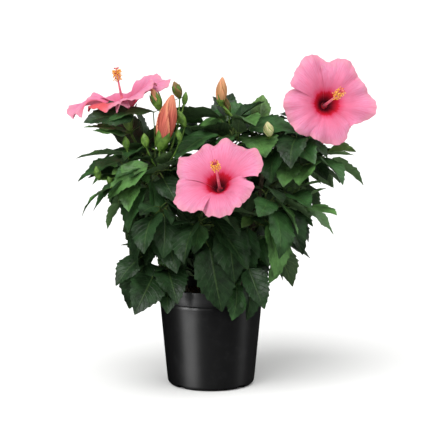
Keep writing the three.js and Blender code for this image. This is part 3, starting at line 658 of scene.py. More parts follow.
class Finish:
    """A procedural material, whose nodes are added one by one."""

    def __init__(self, name, roughness, gloss):
        self.material = bpy.data.materials.new(name)
        self.material.use_nodes = True
        self.tree = self.material.node_tree
        self.shader = self.tree.nodes["Principled BSDF"]
        self.say("Roughness", roughness)
        self.say("Specular IOR Level", gloss)
        self.where = self.node("ShaderNodeTexCoord", {}, "Object")

    def put(self, socket, value):
        if isinstance(value, bpy.types.NodeSocket):
            self.tree.links.new(value, socket)
        else:
            socket.default_value = value

    def say(self, name, value):
        self.put(self.shader.inputs[name], value)

    def node(self, kind, inputs, output=0, **settings):
        node = self.tree.nodes.new(kind)
        for key, value in settings.items():
            setattr(node, key, value)
        for key, value in inputs.items():
            self.put(node.inputs[key], value)
        return node.outputs[output]

    def math(self, operation, *values):
        return self.node("ShaderNodeMath", dict(enumerate(values)), operation=operation)

    def ease(self, value, low, high, start=0, end=1):
        inputs = {0: value, 1: low, 2: high, 3: start, 4: end}
        return self.node("ShaderNodeMapRange", inputs, interpolation_type="SMOOTHSTEP")

    def mix(self, share, a, b):
        return self.node("ShaderNodeMix", {0: share, 6: a, 7: b}, 2, data_type="RGBA")

    def shade(self, colour, value):
        return self.node("ShaderNodeHueSaturation", {"Value": value, "Color": colour})

    def scaled(self, vector, factors):
        return self.node("ShaderNodeVectorMath", {0: vector, 1: factors}, operation="MULTIPLY")

    def noise(self, scale, detail, roughness=0.5, at=None):
        inputs = {"Vector": at or self.where, "Scale": scale, "Detail": detail, "Roughness": roughness}
        return self.node("ShaderNodeTexNoise", inputs)

    def surface(self):
        """The piece's own map: place across it and along it."""
        both = self.node("ShaderNodeUVMap", {}, uv_map=SURFACE_MAP)
        across, along = (self.node("ShaderNodeSeparateXYZ", {0: both}, axis) for axis in (0, 1))
        return both, across, along

    def relief(self, height, distance, strength):
        """Bump, where distance is in millimetres."""
        inputs = {"Height": height, "Distance": distance * MM, "Strength": strength}
        self.say("Normal", self.node("ShaderNodeBump", inputs))


TONES = ("deep", "mid", "light", "young")
VEINS, VEIN_SLANT, VEIN_WIDTH = 8, 2.2, 0.1


def veins(finish, across, along):
    """Midrib and side veins: 1 on a vein and 0 between them."""
    beside = finish.math("ABSOLUTE", finish.math("MULTIPLY_ADD", across, 1 / MAP_HALF, -0.5 / MAP_HALF))
    midrib = finish.ease(beside, 0.02, 0.075, 1, 0)
    slanted = finish.math("MULTIPLY", beside, VEIN_SLANT)
    step = finish.math("SUBTRACT", finish.math("MULTIPLY", along, VEINS), slanted)
    side = finish.ease(finish.math("PINGPONG", step, 0.5), 0, VEIN_WIDTH, 1, 0)
    return midrib, side


@functools.cache
def leaf_finish(tone, front):
    """A glossy upper side or a dull under side, in one of the tones."""
    looks = bpy.context.scene.shrub_leaves
    colour = getattr(looks, tone)
    finish = Finish(f"leaf_{tone}_{'front' if front else 'back'}", looks.roughness if front else 0.6,
                    looks.gloss if front else 0.25)
    _, across, along = finish.surface()
    midrib, side = veins(finish, across, along)
    either = finish.math("MAXIMUM", midrib, side)
    patches = finish.noise(42, 4, 0.6)
    if front:
        green = finish.shade(colour, finish.ease(patches, 0.32, 0.68, 0.5, 1.55))
        green = finish.mix(finish.math("MULTIPLY", side, 0.035), green, looks.vein)
        green = finish.mix(finish.math("MULTIPLY", midrib, 0.13), green, looks.vein)
        puffs = finish.math("MULTIPLY_ADD", finish.noise(110, 2), 4, finish.noise(260, 2))
        finish.relief(finish.math("MULTIPLY_ADD", either, -0.9, puffs), 0.5, 0.7)
    else:
        green = finish.mix(0.55, colour, looks.back)
        green = finish.shade(green, finish.ease(patches, 0.3, 0.7, 0.85, 1.2))
        green = finish.mix(finish.math("MULTIPLY", either, 0.35), green, looks.vein)
        finish.relief(either, 0.5, 0.8)
    finish.say("Base Color", green)
    return finish.material


def leaf_materials():
    return [leaf_finish(tone, front) for front in (True, False) for tone in TONES]


def wood_finish(name, colour, deep, roughness, grain):
    """Bark or green rind, streaked along the limb by its own map."""
    finish = Finish(name, roughness, 0.3)
    both, _, _ = finish.surface()
    streaks = finish.noise(3, 4, 0.6, finish.scaled(both, (7, grain, 1)))
    blotches = finish.noise(60, 4, 0.6)
    colour = finish.mix(finish.ease(streaks, 0.35, 0.65), deep, colour)
    finish.say("Base Color", finish.shade(colour, finish.ease(blotches, 0.3, 0.7, 0.7, 1.3)))
    finish.relief(finish.math("ADD", streaks, blotches), 0.4, 0.6)
    return finish.material


def pot_finish(looks):
    """Satin plastic with the fine rings of its mould, a thin dusting in patches, and a lighter band about the
    rim that is painted sheen.
    """
    finish = Finish("black_plastic", looks.roughness, looks.gloss)
    smears = finish.noise(14, 4, 0.6)
    grain = finish.noise(900, 2)
    dust = finish.noise(45, 5, 0.7)
    height = finish.node("ShaderNodeSeparateXYZ", {0: finish.where}, 2)
    rim_foot = POT_HEIGHT - RIM_HEIGHT
    # Painted sheen: the band over the rim takes the lighter colour and stands in for a highlight on the rim.
    # The noise patches added to it are a thin dusting.
    band = finish.ease(height, (rim_foot - 1) * MM, (rim_foot + 8) * MM, 0, 0.55)
    dust_and_rim_sheen = finish.math("ADD", finish.ease(dust, 0.5, 0.85, 0, 0.3), band)
    finish.say("Base Color", finish.mix(dust_and_rim_sheen, looks.colour, looks.dust))
    rings = finish.noise(1, 3, 0.7, finish.scaled(finish.where, (5, 5, 700)))
    worn = finish.math("MULTIPLY_ADD", rings, 0.1, finish.ease(smears, 0.3, 0.7, -0.1, 0))
    finish.say("Roughness", finish.math("ADD", worn, looks.roughness))
    finish.say("Anisotropic", looks.brushed)
    finish.say("Anisotropic Rotation", 0.25)
    finish.say("Tangent", finish.node("ShaderNodeTangent", {}, direction_type="RADIAL", axis="Z"))
    finish.relief(finish.math("ADD", grain, rings), 0.05, 0.5)
    return finish.material


def soil_finish(name, colour, deep):
    finish = Finish(name, 0.95, 0.1)
    clods, grit = finish.noise(130, 5, 0.65), finish.noise(700, 3, 0.6)
    finish.say("Base Color", finish.shade(finish.mix(finish.ease(clods, 0.35, 0.65), deep, colour),
                                          finish.ease(grit, 0.3, 0.7, 0.6, 1.5)))
    finish.relief(finish.math("ADD", clods, grit), 1.5, 0.9)
    return finish.material


# Where a petal has gone coral red with age: middle of the patch, and its radius
BLUSHES = [((-134, -40, 345), 30), ((180, -34, 323), 10)]
BLUSH_CORE, BLUSH_EDGE, BLUSH_STRENGTH = 0.5, 1.25, 0.85
# The eye ends in streaks, this much longer and shorter, with a halo past them
EYE_STREAKS, HALO = 0.07, 0.14


def petal_finish(name, looks, outer):
    """Pink with deeper veins, paler to the rim, and a dark eye that runs out in streaks."""
    finish = Finish(name, 0.55, 0.12)
    both, _, along = finish.surface()
    rays = finish.scaled(both, (26, 1.6, 1))
    fan = finish.noise(1, 3, 0.6, rays)
    fine = finish.noise(2.7, 3, 0.6, rays)
    mottle = finish.noise(35, 3)
    pink = finish.mix(finish.ease(along, 0.25, 1, 0.75, 0), looks.colour, looks.deep)
    pink = finish.mix(finish.ease(fine, 0.42, 0.66, 0, 0.4), pink, looks.deep)
    pink = finish.mix(finish.ease(fan, 0.5, 0.72, 0, 0.4), pink, looks.deep)
    pink = finish.mix(finish.ease(along, 0.78, 1, 0, 0.6), pink, looks.rim)
    pink = finish.shade(pink, finish.ease(mottle, 0.3, 0.7, 0.94, 1.06))
    for middle, radius in BLUSHES:
        ends = {0: finish.where, 1: Vector(middle) * MM}
        gap = finish.node("ShaderNodeVectorMath", ends, "Value", operation="DISTANCE")
        core, edge = BLUSH_CORE * radius * MM, BLUSH_EDGE * radius * MM
        gap = finish.math("MULTIPLY_ADD", finish.noise(90, 2), core, gap)
        pink = finish.mix(finish.ease(gap, core, edge, BLUSH_STRENGTH, 0), pink, looks.aged)
    if outer:
        pink = finish.mix(finish.ease(along, 0.2, 1, 0.75, 0.35), pink, looks.back)
    else:
        reach = finish.math("MULTIPLY_ADD", fan, 2 * EYE_STREAKS, looks.eye - EYE_STREAKS)
        inside = finish.math("SUBTRACT", along, reach)
        halo = finish.ease(inside, -0.02, HALO, 0.75, 0)
        pink = finish.mix(halo, pink, looks.halo)
        eye = finish.mix(finish.ease(along, 0.03, looks.eye, 0, 1), looks.eye_deep, looks.eye_colour)
        eye = finish.mix(finish.ease(fine, 0.5, 0.7, 0, 0.35), eye, looks.halo)
        pink = finish.mix(finish.ease(inside, -0.035, 0.02, 1, 0), pink, eye)
    finish.say("Base Color", pink)
    finish.say("Subsurface Weight", 0.15)
    finish.say("Subsurface Radius", (0.006, 0.003, 0.003))
    finish.say("Subsurface Scale", 0.5)
    finish.relief(finish.math("ADD", fine, fan), 0.5, 0.5)
    return finish.material


def plain_finish(name, colour, deep, roughness, gloss, scale=160):
    """A small organ's finish: two mottled tones with a fine grain."""
    finish = Finish(name, roughness, gloss)
    mottle, grain = finish.noise(scale, 3, 0.6), finish.noise(scale * 6, 2)
    finish.say("Base Color", finish.mix(finish.ease(mottle, 0.35, 0.65), deep, colour))
    finish.relief(finish.math("ADD", mottle, grain), 0.2, 0.7)
    return finish.material


def bud_finish(name, colour, deep, tip):
    """Furled petals, whose edges wind up the bud: paler on the edge as a painted highlight, and darker in the
    fold behind it as painted shade.
    """
    finish = Finish(name, 0.5, 0.3)
    both, across, along = finish.surface()
    streaks = finish.noise(1, 3, 0.6, finish.scaled(both, (30, 2, 1)))
    climb = finish.math("MULTIPLY_ADD", across, FURLS, finish.math("MULTIPLY", along, FURL_TWIST))
    turn = finish.math("FRACT", finish.math("SUBTRACT", climb, FURLS / 2))
    shade = finish.mix(finish.ease(streaks, 0.3, 0.7, 0.3, 1), deep, colour)
    # Painted shade: darker in the fold just past each furled edge.
    shade = finish.mix(finish.ease(turn, 0, 0.3, 0.85, 0), shade, deep)
    # Painted highlight: paler along each furled edge.
    shade = finish.mix(finish.ease(turn, 0.7, 1, 0, 0.75), shade, tip)
    finish.say("Base Color", finish.mix(finish.ease(along, 0.6, 1, 0, 0.5), shade, tip))
    finish.say("Subsurface Weight", 0.1)
    finish.say("Subsurface Radius", (0.005, 0.003, 0.002))
    finish.relief(streaks, 0.5, 0.6)
    return finish.material


# Pot and soil

POT_HEIGHT, RIM_RADIUS, RIM_HEIGHT, SHOULDER_RADIUS = 123, 65, 18, 62.8
BASE_RADIUS, CORNER, WALL, FLOOR = 53, 6, 1.8, 3
FOOT_RING, FOOT_HOLLOW = 11.5, 1.2
GROOVE, STEP, LIP, RIM_DRAFT, RIM_WALL = 0.9, 0.9, 1, 1, 2.2
SPIN_STEPS = 128
DRAINS, DRAIN_ANGLE = 4, 45
DRAIN_WIDTH, DRAIN_HEIGHT, DRAIN_REACH, DRAIN_ROUND = 12, 4.5, 9, 1.2


def spun(profile):
    """A mesh of the profile, radius and height in millimetres, turned full circle."""
    bm = bmesh.new()
    line = [bm.verts.new((radius * MM, 0, height * MM)) for radius, height in profile]
    edges = [bm.edges.new(pair) for pair in zip(line, line[1:])]
    bmesh.ops.spin(bm, geom=line + edges, cent=(0, 0, 0), axis=UP, dvec=(0, 0, 0),
                   angle=math.tau, steps=SPIN_STEPS, use_merge=True)
    bmesh.ops.remove_doubles(bm, verts=bm.verts, dist=1e-6)
    bmesh.ops.recalc_face_normals(bm, faces=bm.faces)
    return bm


def arc(centre, height, radius, start, end, steps):
    """Part of a profile: a rounding between two angles in degrees."""
    angles = [math.radians(lerp(start, end, i / steps)) for i in range(steps + 1)]
    return [(centre + radius * math.cos(a), height + radius * math.sin(a)) for a in angles]


def outside_radius(height):
    """The wall's outside below the rim band."""
    return lerp(BASE_RADIUS, SHOULDER_RADIUS, height / (POT_HEIGHT - RIM_HEIGHT))


def pot_profile():
    top, band = POT_HEIGHT, POT_HEIGHT - RIM_HEIGHT
    ring = BASE_RADIUS - FOOT_RING
    foot_ring = [(0, FOOT_HOLLOW), (ring - 1.5, FOOT_HOLLOW), (ring, 0), (BASE_RADIUS - CORNER, 0)]
    corner = arc(BASE_RADIUS - CORNER + 0.4, CORNER, CORNER, -90, -4, 8)
    wall = [(outside_radius(z), z) for z in (14, 24, 48, 72, 94, band - 3.8, band - 3.4)]
    groove = [(SHOULDER_RADIUS - GROOVE, band - 2.4), (SHOULDER_RADIUS - GROOVE, band - 1.2),
              (SHOULDER_RADIUS, band - 0.4)]
    step = arc(RIM_RADIUS - RIM_DRAFT - STEP, band + 0.8, STEP, -90, 0, 4)
    outer = [(RIM_RADIUS - 0.85 * RIM_DRAFT, band + 6), (RIM_RADIUS - 0.5 * RIM_DRAFT, band + 12)]
    lip = arc(RIM_RADIUS - LIP, top - LIP, LIP, 0, 180, 8)
    inner = [(RIM_RADIUS - RIM_WALL, top - 3), (RIM_RADIUS - RIM_WALL - 1.4, band + 2)]
    inner += [(outside_radius(z) - WALL, z) for z in (band - 4, 80, 50, 20)]
    floor = arc(BASE_RADIUS - WALL - CORNER, FLOOR + CORNER, CORNER, 0, -90, 5)
    return foot_ring + corner + wall + groove + step + outer + lip + inner + floor + [(0, FLOOR)]


def cut_drains(bm):
    """Cuts the notches at the foot with a Boolean, and leaves the cut mesh in the same bmesh."""
    cutter = bmesh.new()
    size = Matrix.Diagonal((DRAIN_REACH * 2 * MM, DRAIN_WIDTH * MM, DRAIN_HEIGHT * 2 * MM, 1))
    out = Matrix.Translation((BASE_RADIUS * MM, 0, 0))
    for k in range(DRAINS):
        turn = Matrix.Rotation(math.radians(DRAIN_ANGLE + k * 360 / DRAINS), 4, "Z")
        bmesh.ops.create_cube(cutter, size=1, matrix=turn @ out @ size)
    rims = [e for e in cutter.edges if min(v.co.z for v in e.verts) > 0]
    bmesh.ops.bevel(cutter, geom=rims, offset=DRAIN_ROUND * MM, offset_type="OFFSET", affect="EDGES",
                    segments=3, profile=0.5, material=-1)
    objects = []
    for name, source in (("pot_blank", bm), ("drain_cutter", cutter)):
        mesh = bpy.data.meshes.new(name)
        source.to_mesh(mesh)
        objects.append(bpy.data.objects.new(name, mesh))
        bpy.context.scene.collection.objects.link(objects[-1])
    blank, tool = objects
    modifier = blank.modifiers.new("drains", "BOOLEAN")
    modifier.object, modifier.operation, modifier.solver = tool, "DIFFERENCE", "EXACT"
    bpy.context.view_layer.update()
    cut = bpy.data.meshes.new_from_object(blank.evaluated_get(bpy.context.evaluated_depsgraph_get()))
    bm.clear()
    bm.from_mesh(cut)
    cutter.free()
    for thing in (blank, tool):
        mesh = thing.data
        bpy.data.objects.remove(thing)
        bpy.data.meshes.remove(mesh)
    bpy.data.meshes.remove(cut)


def make_pot(looks):
    """The pot, which alone takes the strips' sheen."""
    bm = spun(pot_profile())
    cut_drains(bm)
    pot = piece_of(bm, "nursery_pot", [pot_finish(looks)], "pot_plastic", "pot", sharp=38)
    sheen_receivers().objects.link(pot)


SOIL_GAP, SOIL_SINK = 0.4, 1.6
SLOPES_FROM, SLOPE_WIDTH, SLOPE_DROP = 48, 14, 2.2
# Size across and height of the soil's lumps
LUMPS, CLODS = (13, 1.6), (5, 0.9)
CRUMB_SIZE, CRUMB_WIDTH, CRUMB_HEIGHT = (0.5, 2.1), (0.5, 0.9), (0.35, 0.8)
CRUMB_SPREAD, CRUMB_LIFT = 0.985, 0.15


def soil_height(x, y):
    """Lumpy top of the soil, lower by the wall."""
    edge = max(0, (math.hypot(x, y) - SLOPES_FROM) / SLOPE_WIDTH)
    lumps = noise.noise(Vector((x, y, 3)) / LUMPS[0]) * LUMPS[1]
    clods = noise.noise(Vector((x, y, 9)) / CLODS[0]) * CLODS[1]
    return SOIL_TOP - SOIL_SINK + lumps + clods - SLOPE_DROP * edge * edge


def make_soil(looks):
    """The bed of soil with a lumpy top, and the crumbs that lie on it."""
    edge = outside_radius(POT_HEIGHT - RIM_HEIGHT) - WALL - SOIL_GAP
    rings = [(radius, SOIL_TOP) for radius in (0, 2, *range(5, 54, 4), 56, 58.5, edge)]
    base = BASE_RADIUS - WALL - SOIL_GAP
    rings += [(edge - 0.4, 96), (lerp(base, edge, 0.5), 50), (base, 9), (base - 5, 4), (0, 4)]
    bm = spun(rings)
    for v in bm.verts:
        if v.co.z > (SOIL_TOP - 1) * MM:
            v.co.z = soil_height(v.co.x / MM, v.co.y / MM) * MM
    loam = soil_finish("loam", looks.colour, looks.deep)
    piece_of(bm, "soil_bed", [loam], "potting_soil", "soil", sharp=80)
    random = random_stream(looks.seed)
    batch = Batch()
    for _ in range(looks.crumbs):
        radius, angle = edge * CRUMB_SPREAD * math.sqrt(next(random)), math.tau * next(random)
        size = lerp(*CRUMB_SIZE, next(random) ** 3)
        x, y = radius * math.cos(angle), radius * math.sin(angle)
        turn = Quaternion((next(random) - 0.5, next(random) - 0.5, next(random)), math.tau * next(random))
        sizes = (size, size * lerp(*CRUMB_WIDTH, next(random)), size * lerp(*CRUMB_HEIGHT, next(random)))
        x, y = (value * min(1, (edge - size) / max(radius, 1)) for value in (x, y))
        height = soil_height(x, y) + size * CRUMB_LIFT
        batch.grain((x, y, height), turn, sizes, int(next(random) * 3))
    bark = soil_finish("bark_crumb", looks.bark, looks.deep)
    peat = soil_finish("peat_crumb", looks.deep, looks.peat)
    batch.piece("soil_crumbs", [loam, bark, peat], "potting_soil", "soil")


# Wood: stems, boughs, twigs and leaf stalks

STEM_SIDES, STEM_ROWS, BOUGH_SIDES, BOUGH_ROWS = 28, 110, 12, 30
STEM_INTO_SOIL = 3
# Swellings by their places, height in millimetres and width as a share of the limb
SCARS, SCAR, SCAR_WIDTH = [0.04 + 0.052 * k for k in range(19)], 0.28, 0.006
COLLAR, COLLAR_WIDTH = 0.9, 0.02
JOINTS, JOINT, JOINT_WIDTH = [0.08 + 0.17 * k for k in range(6)], 0.35, 0.02
FINE_JOINTS, TWIG_JOINT, TWIG_JOINT_WIDTH = [0.5, 0.72, 0.95], 0.4, 0.022
BOUGH_FLARE, BOUGH_FLARE_SHARE = 0.66, 0.05
# The bark's ridges: scale round the stem and along it, and the step from one stem to the next
RIDGE_ROUND, RIDGE_ALONG, RIDGE_STEP = 2.2, 9, 7
# A leaf stalk's bow and its reach into the blade, as shares, and its radius by the leaf's size
STALK_BOW, STALK_INTO_LEAF, STALK_RADIUS, STALK_BY_SIZE = 0.06, 0.05, 0.35, 0.006


def knots(share, places, width):
    """Swellings where leaves or twigs stand: 1 at each place."""
    swell = np.zeros_like(share)
    for place in places:
        swell = np.maximum(swell, np.exp(-((share - place) / width) ** 2))
    return swell


def blunt(share, slope, least):
    """1 along a limb, falling to the least share of its radius at the very tip."""
    return np.minimum(1, (1 - share) * slope + least)


def make_stems(looks):
    """Stems with a collar at each fork, leaf scars and ridged bark."""
    batch = Batch()
    stems, masses = plant()
    for index, (name, limb) in enumerate(stems.items()):
        forks = [mass.shoot.fork for mass in masses.values() if mass.shoot.stem == name]
        sunk = Limb(limb.foot - UP * STEM_INTO_SOIL, limb.middle - UP * STEM_INTO_SOIL, limb.tip,
                    limb.foot_radius, limb.tip_radius)

        def ridge(angle, share):
            height = share * RIDGE_ALONG + index * RIDGE_STEP
            place = Vector((math.cos(angle) * RIDGE_ROUND, math.sin(angle) * RIDGE_ROUND, height))
            return noise.fractal(place, 1, 2, 4)

        def radius_of(angle, share):
            taper = lerp(STEM_FOOT, STEM_TOP, share) + STEM_FLARE * np.exp(-share / FLARE_SHARE)
            ridges = np.array([ridge(a, t) for a, t in zip(angle, share)])
            collars = knots(share, forks, COLLAR_WIDTH) * COLLAR + knots(share, SCARS, SCAR_WIDTH) * SCAR
            return (taper + collars + ridges * looks.ridges) * blunt(share, 40, 0.35)

        batch.tube(sunk, tube_shape(STEM_SIDES, STEM_ROWS), 0, radius_of)
    bark = wood_finish("grey_bark", looks.bark, looks.bark_deep, 0.85, 9)
    batch.piece("woody_stems", [bark], "stem_bark", *(f"stem_{name}" for name in stems))


def make_boughs(looks):
    _, masses = plant()
    batch = Batch()
    for mass in masses.values():
        limb = mass.bough

        def radius_of(angle, share):
            taper = lerp(limb.foot_radius, limb.tip_radius, share)
            flare = BOUGH_FLARE * np.exp(-share / BOUGH_FLARE_SHARE)
            return taper + flare + knots(share, JOINTS, JOINT_WIDTH) * JOINT

        batch.tube(limb, tube_shape(BOUGH_SIDES, BOUGH_ROWS), 0, radius_of)
    rind = wood_finish("green_rind", looks.green, looks.green_deep, 0.6, 6)
    batch.piece("green_boughs", [rind], "green_wood", *(f"bough_{name}" for name in masses))


def add_twig(batch, limb, joints):
    def radius_of(angle, share):
        taper = lerp(limb.foot_radius, limb.tip_radius, share)
        return (taper + knots(share, joints, TWIG_JOINT_WIDTH) * TWIG_JOINT) * blunt(share, 14, 0.4)

    batch.tube(limb, tube_shape(8, 18), 0, radius_of)


def add_stalk(batch, leaf):
    """The stalk of a leaf, bowed, thicker at both ends, in the batch's second finish."""
    span = (leaf.neck - leaf.root).length
    middle = leaf.root.lerp(leaf.neck, 0.5) + UP * (span * STALK_BOW)
    root = leaf.root.lerp(leaf.neck, 0.02)
    into = leaf.neck + leaf.forward * (leaf.size * STALK_INTO_LEAF)
    limb = Limb(root, middle, into, 1, 1)
    thick = STALK_RADIUS + leaf.size * STALK_BY_SIZE

    def radius_of(angle, share):
        return thick * (0.8 + 0.7 * (2 * share - 1) ** 4) * np.where(share > 0.97, 0.5, 1)

    batch.tube(limb, tube_shape(6, 6), 1, radius_of)


# Leaves: those of the rule, then finer growth in the gaps that the photo shows closed

FINE_TWIGS, FINE_LEAVES, FINE_REACH, FINE_SCALE = 3, 3, 0.34, 0.62
FINE_FOOT, FINE_TIP, FINE_TRIES = 0.85, 0.55, 5
# The finer leaves' numbers in the rule: from this one on for each finer twig, and between the first leaves
FINE_ORDER, ORDERS_A_TWIG, BETWEEN_ORDER = 40, 8, 24
MORE_BETWEEN, BETWEEN_SCALE = 2, 0.5
MIDRIB_STEPS = 5
CLEARANCE = 1.4
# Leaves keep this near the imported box, and this far from the pot
PAST_BOX, OFF_POT = 6, 3


def leaf_sheets(leaf, offs=(0,)):
    """Light outlines of the blade for tests: its middle line and both sides, at heights off it."""
    share = np.repeat(np.linspace(0.04, 1, MIDRIB_STEPS), 3)
    place = np.tile([-1.0, 0.0, 1.0], MIDRIB_STEPS)
    half = leaf.width / 2 * blade_profile(share) + CLEARANCE
    points, faces = [], []
    for off in offs:
        first = len(points) * len(share)
        points.append(blade_points(leaf, share, place, half, np.full_like(share, off)))
        faces += [(a, a + 1, a + 4, a + 3) for row in range(MIDRIB_STEPS - 1)
                  for a in (first + row * 3, first + row * 3 + 1)]
    return np.concatenate(points), faces


class Crowd:
    """What stands already, as light sheets and limbs, which new leaves have to miss."""

    def __init__(self):
        self.trees = []

    def add(self, points, faces):
        low, high = points.min(axis=0), points.max(axis=0)
        tree = BVHTree.FromPolygons([tuple(p) for p in points], faces)
        self.trees.append((low, high, tree))

    def clear(self, points, faces):
        low, high = points.min(axis=0) - CLEARANCE, points.max(axis=0) + CLEARANCE
        tree = BVHTree.FromPolygons([tuple(p) for p in points], faces)
        return not any((low <= other_high).all() and (other_low <= high).all() and tree.overlap(other)
                       for other_low, other_high, other in self.trees)


def node_tree(node):
    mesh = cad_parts[node].data
    points = np.array([v.co for v in mesh.vertices]) / MM
    return points, [list(p.vertices) for p in mesh.polygons]


def in_bounds(points):
    low, high = np.array(CAD_BOX[0]) / MM - PAST_BOX, np.array(CAD_BOX[1]) / MM + PAST_BOX
    if (points < low).any() or (points > high).any():
        return False
    radius = np.hypot(points[:, 0], points[:, 1])
    return not ((points[:, 2] < POT_HEIGHT + OFF_POT) & (radius < RIM_RADIUS + OFF_POT)).any()


class Place(NamedTuple):
    """The frame of a bloom: its axis, the two directions across it and the middle of its throat."""
    axis: Vector
    up: Vector
    right: Vector
    throat: Vector

    def at(self, height):
        return self.throat + self.axis * height


def bloom_place(bloom):
    axis = Vector(bloom.axis).normalized()
    up = UP - axis * axis.z
    if up.length < 0.4:
        up = Vector((0, 1, 0)) - axis * axis.y
    up.normalize()
    return Place(axis, up, up.cross(axis), Vector(bloom.throat))


STALK_INTO_CALYX = 2
SHOWN_FOLD = 0.2


def flower_stalk(bloom, shoot):
    """From the tip of its shoot up into the bloom's calyx."""
    place = bloom_place(bloom)
    calyx_foot = place.at(-PETAL_DEPTH - CALYX_LENGTH)
    direction = shoot.tangent(1)
    foot = shoot.tip + direction * (SEAT_GAP - 1)
    span = (foot - calyx_foot).length
    middle = (foot + direction * (span / 2)).lerp(calyx_foot - place.axis * (span * 0.45), 0.5)
    return Limb(foot, middle, calyx_foot + place.axis * STALK_INTO_CALYX, FLOWER_STALK * 0.85, FLOWER_STALK)


class ShownLeaf(NamedTuple):
    """A leaf that the photo shows by itself, from its neck to its tip.

    Turn rolls it about its midrib and bend bows it, in degrees. Tone is its own draw.
    """
    shoot: str
    neck: tuple
    tip: tuple
    width: float
    turn: float
    bend: float
    tone: float


SHOWN_LEAVES = [
    ShownLeaf("left_crest", (-92, -36, 331), (-147, -58, 321), 38, -40, 30, 0.1),
    ShownLeaf("left_buds", (-66, -20, 335), (-122, -58, 325), 22, -14, 34, 0.75),
    ShownLeaf("left_crest", (-101, -38, 309), (-138, -62, 315), 18, -26, 20, 0.95),
    ShownLeaf("left_crest", (-100, -34, 313), (-149, -56, 319), 19, -18, 22, 0.85),
    ShownLeaf("left_reach", (-74, -60, 277), (-118, -72, 233), 36, -30, 38, 0.9),
    ShownLeaf("left_reach", (-116, -64, 249), (-152, -70, 215), 20, 8, 58, 0.85),
    ShownLeaf("left_reach", (-108, -62, 231), (-121, -66, 199), 19, 50, 30, 0.85),
]


def shown_leaf(shown, limbs):
    """The leaf as the rule would have it, on a stalk from the nearest of the limbs."""
    neck, tip = Vector(shown.neck), Vector(shown.tip)
    root = nearest_start(limbs, (0.3, 0.5, 0.7, 0.9), neck)
    chord = tip - neck
    bend = math.radians(shown.bend)
    flat = UP.cross(chord).normalized()
    forward = turned(chord.normalized(), flat, -bend / 2)
    side = turned(UP.cross(forward).normalized(), forward, math.radians(shown.turn))
    size = chord.length * (bend / 2) / math.sin(bend / 2)
    upper = forward.cross(side)
    return Leaf(size, shown.width, root, neck, forward, side, upper, bend, SHOWN_FOLD, 0, shown.tone)


def grow_shown(masses):
    """For each mass: the leaves that the photo shows by themselves."""
    flowering = {bloom.shoot: bloom for bloom in BLOOMS.values()}
    grown = {name: [] for name in masses}
    for shown in SHOWN_LEAVES:
        limbs = [twig.limb for twig in masses[shown.shoot].twigs]
        if shown.shoot in flowering:
            limbs.append(flower_stalk(flowering[shown.shoot], limbs[0]))
        grown[shown.shoot].append(shown_leaf(shown, limbs))
    return grown


def first_crowd(leaves):
    """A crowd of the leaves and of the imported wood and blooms."""
    crowd = Crowd()
    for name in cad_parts:
        if name.startswith(("bloom_", "bough_", "stem_")):
            crowd.add(*node_tree(name))
    for leaf in leaves:
        crowd.add(*leaf_sheets(leaf))
    return crowd


def grow_between(mass, twig, first_order, scale, crowd):
    """Smaller leaves of a twig, those of the tries that stay in the mass's space and miss the crowd."""
    middle = mass.twigs[0].limb.point(0.5)
    kept = []
    for i in range(twig.leaves):
        share = i / max(1, twig.leaves - 1)
        for attempt in range(FINE_TRIES):
            leaf = grow_leaf(mass.shoot, twig, first_order + i, share, attempt, scale)
            points, faces = leaf_sheets(leaf, (-CLEARANCE, 0, CLEARANCE))
            near = (blade_tip(leaf) - middle).length < SPACE
            if near and in_bounds(points) and crowd.clear(points, faces):
                crowd.add(*leaf_sheets(leaf))
                kept.append(leaf)
                break
    return kept


def grow_finer(mass, crowd):
    """Finer twigs of a mass with their leaves, and leaves between those of its own twigs."""
    twigs, leaves = [], []
    for order in range(SIDE_TWIGS, SIDE_TWIGS + FINE_TWIGS):
        twig = side_twig(mass.shoot, mass.twigs[0].limb, order, FINE_TWIGS, FINE_LEAVES, FINE_REACH)
        limb = twig.limb
        twig = twig._replace(limb=Limb(limb.foot, limb.middle, limb.tip, FINE_FOOT, FINE_TIP))
        kept = grow_between(mass, twig, FINE_ORDER + order * ORDERS_A_TWIG, FINE_SCALE, crowd)
        if kept:
            twigs.append(twig)
            leaves += kept
    for twig in mass.twigs:
        fuller = twig._replace(leaves=twig.leaves + MORE_BETWEEN)
        leaves += grow_between(mass, fuller, BETWEEN_ORDER, BETWEEN_SCALE, crowd)
    return twigs, leaves


@functools.cache
def growth():
    """For each mass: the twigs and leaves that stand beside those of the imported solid."""
    _, masses = plant()
    shown = grow_shown(masses)
    crowd = first_crowd([leaf for mass in masses.values() for leaf in mass.leaves]
                        + [leaf for leaves in shown.values() for leaf in leaves])
    grown = {}
    for name, mass in masses.items():
        twigs, leaves = grow_finer(mass, crowd)
        grown[name] = twigs, shown[name] + leaves
    return grown


# Leaves this young, small and lightly drawn are yellow-green
YELLOW_YOUTH, YELLOW_SIZE, YELLOW_DRAW = 0.5, 42, 0.35
# Painted shade and light: how much darker a shoot's leaves are dealt out than the others, where shade falls
# on low and inner shoots, and how much lighter, below 0, on a few outer ones
PAINTED_SHADE_BY_SHOOT = {
    "front_low": 0.45, "left_inner": 0.45, "left_low": 0.5, "left_rim": 0.5, "right_rim": 0.4,
    "front_bloom": 0.3, "right_low": 0.2, "left_reach": -0.15, "right_mid": -0.1, "top_right": -0.1,
}
# Leaves longer than this have more rows of teeth
LARGE_LEAF = 40


def tone_of(leaf, shoot, looks):
    """Young leaves are yellow-green, and the others are dealt out by their own draw and by their shoot's
    painted shade, which makes low and inner shoots darker and a few outer ones lighter.
    """
    darker = PAINTED_SHADE_BY_SHOOT.get(shoot, 0)
    if leaf.young > YELLOW_YOUTH and leaf.size < YELLOW_SIZE and leaf.tone > YELLOW_DRAW + darker:
        return TONES.index("young")
    tone = leaf.tone - darker
    return 0 if tone < looks.deep_share else 1 if tone < looks.mid_share else 2


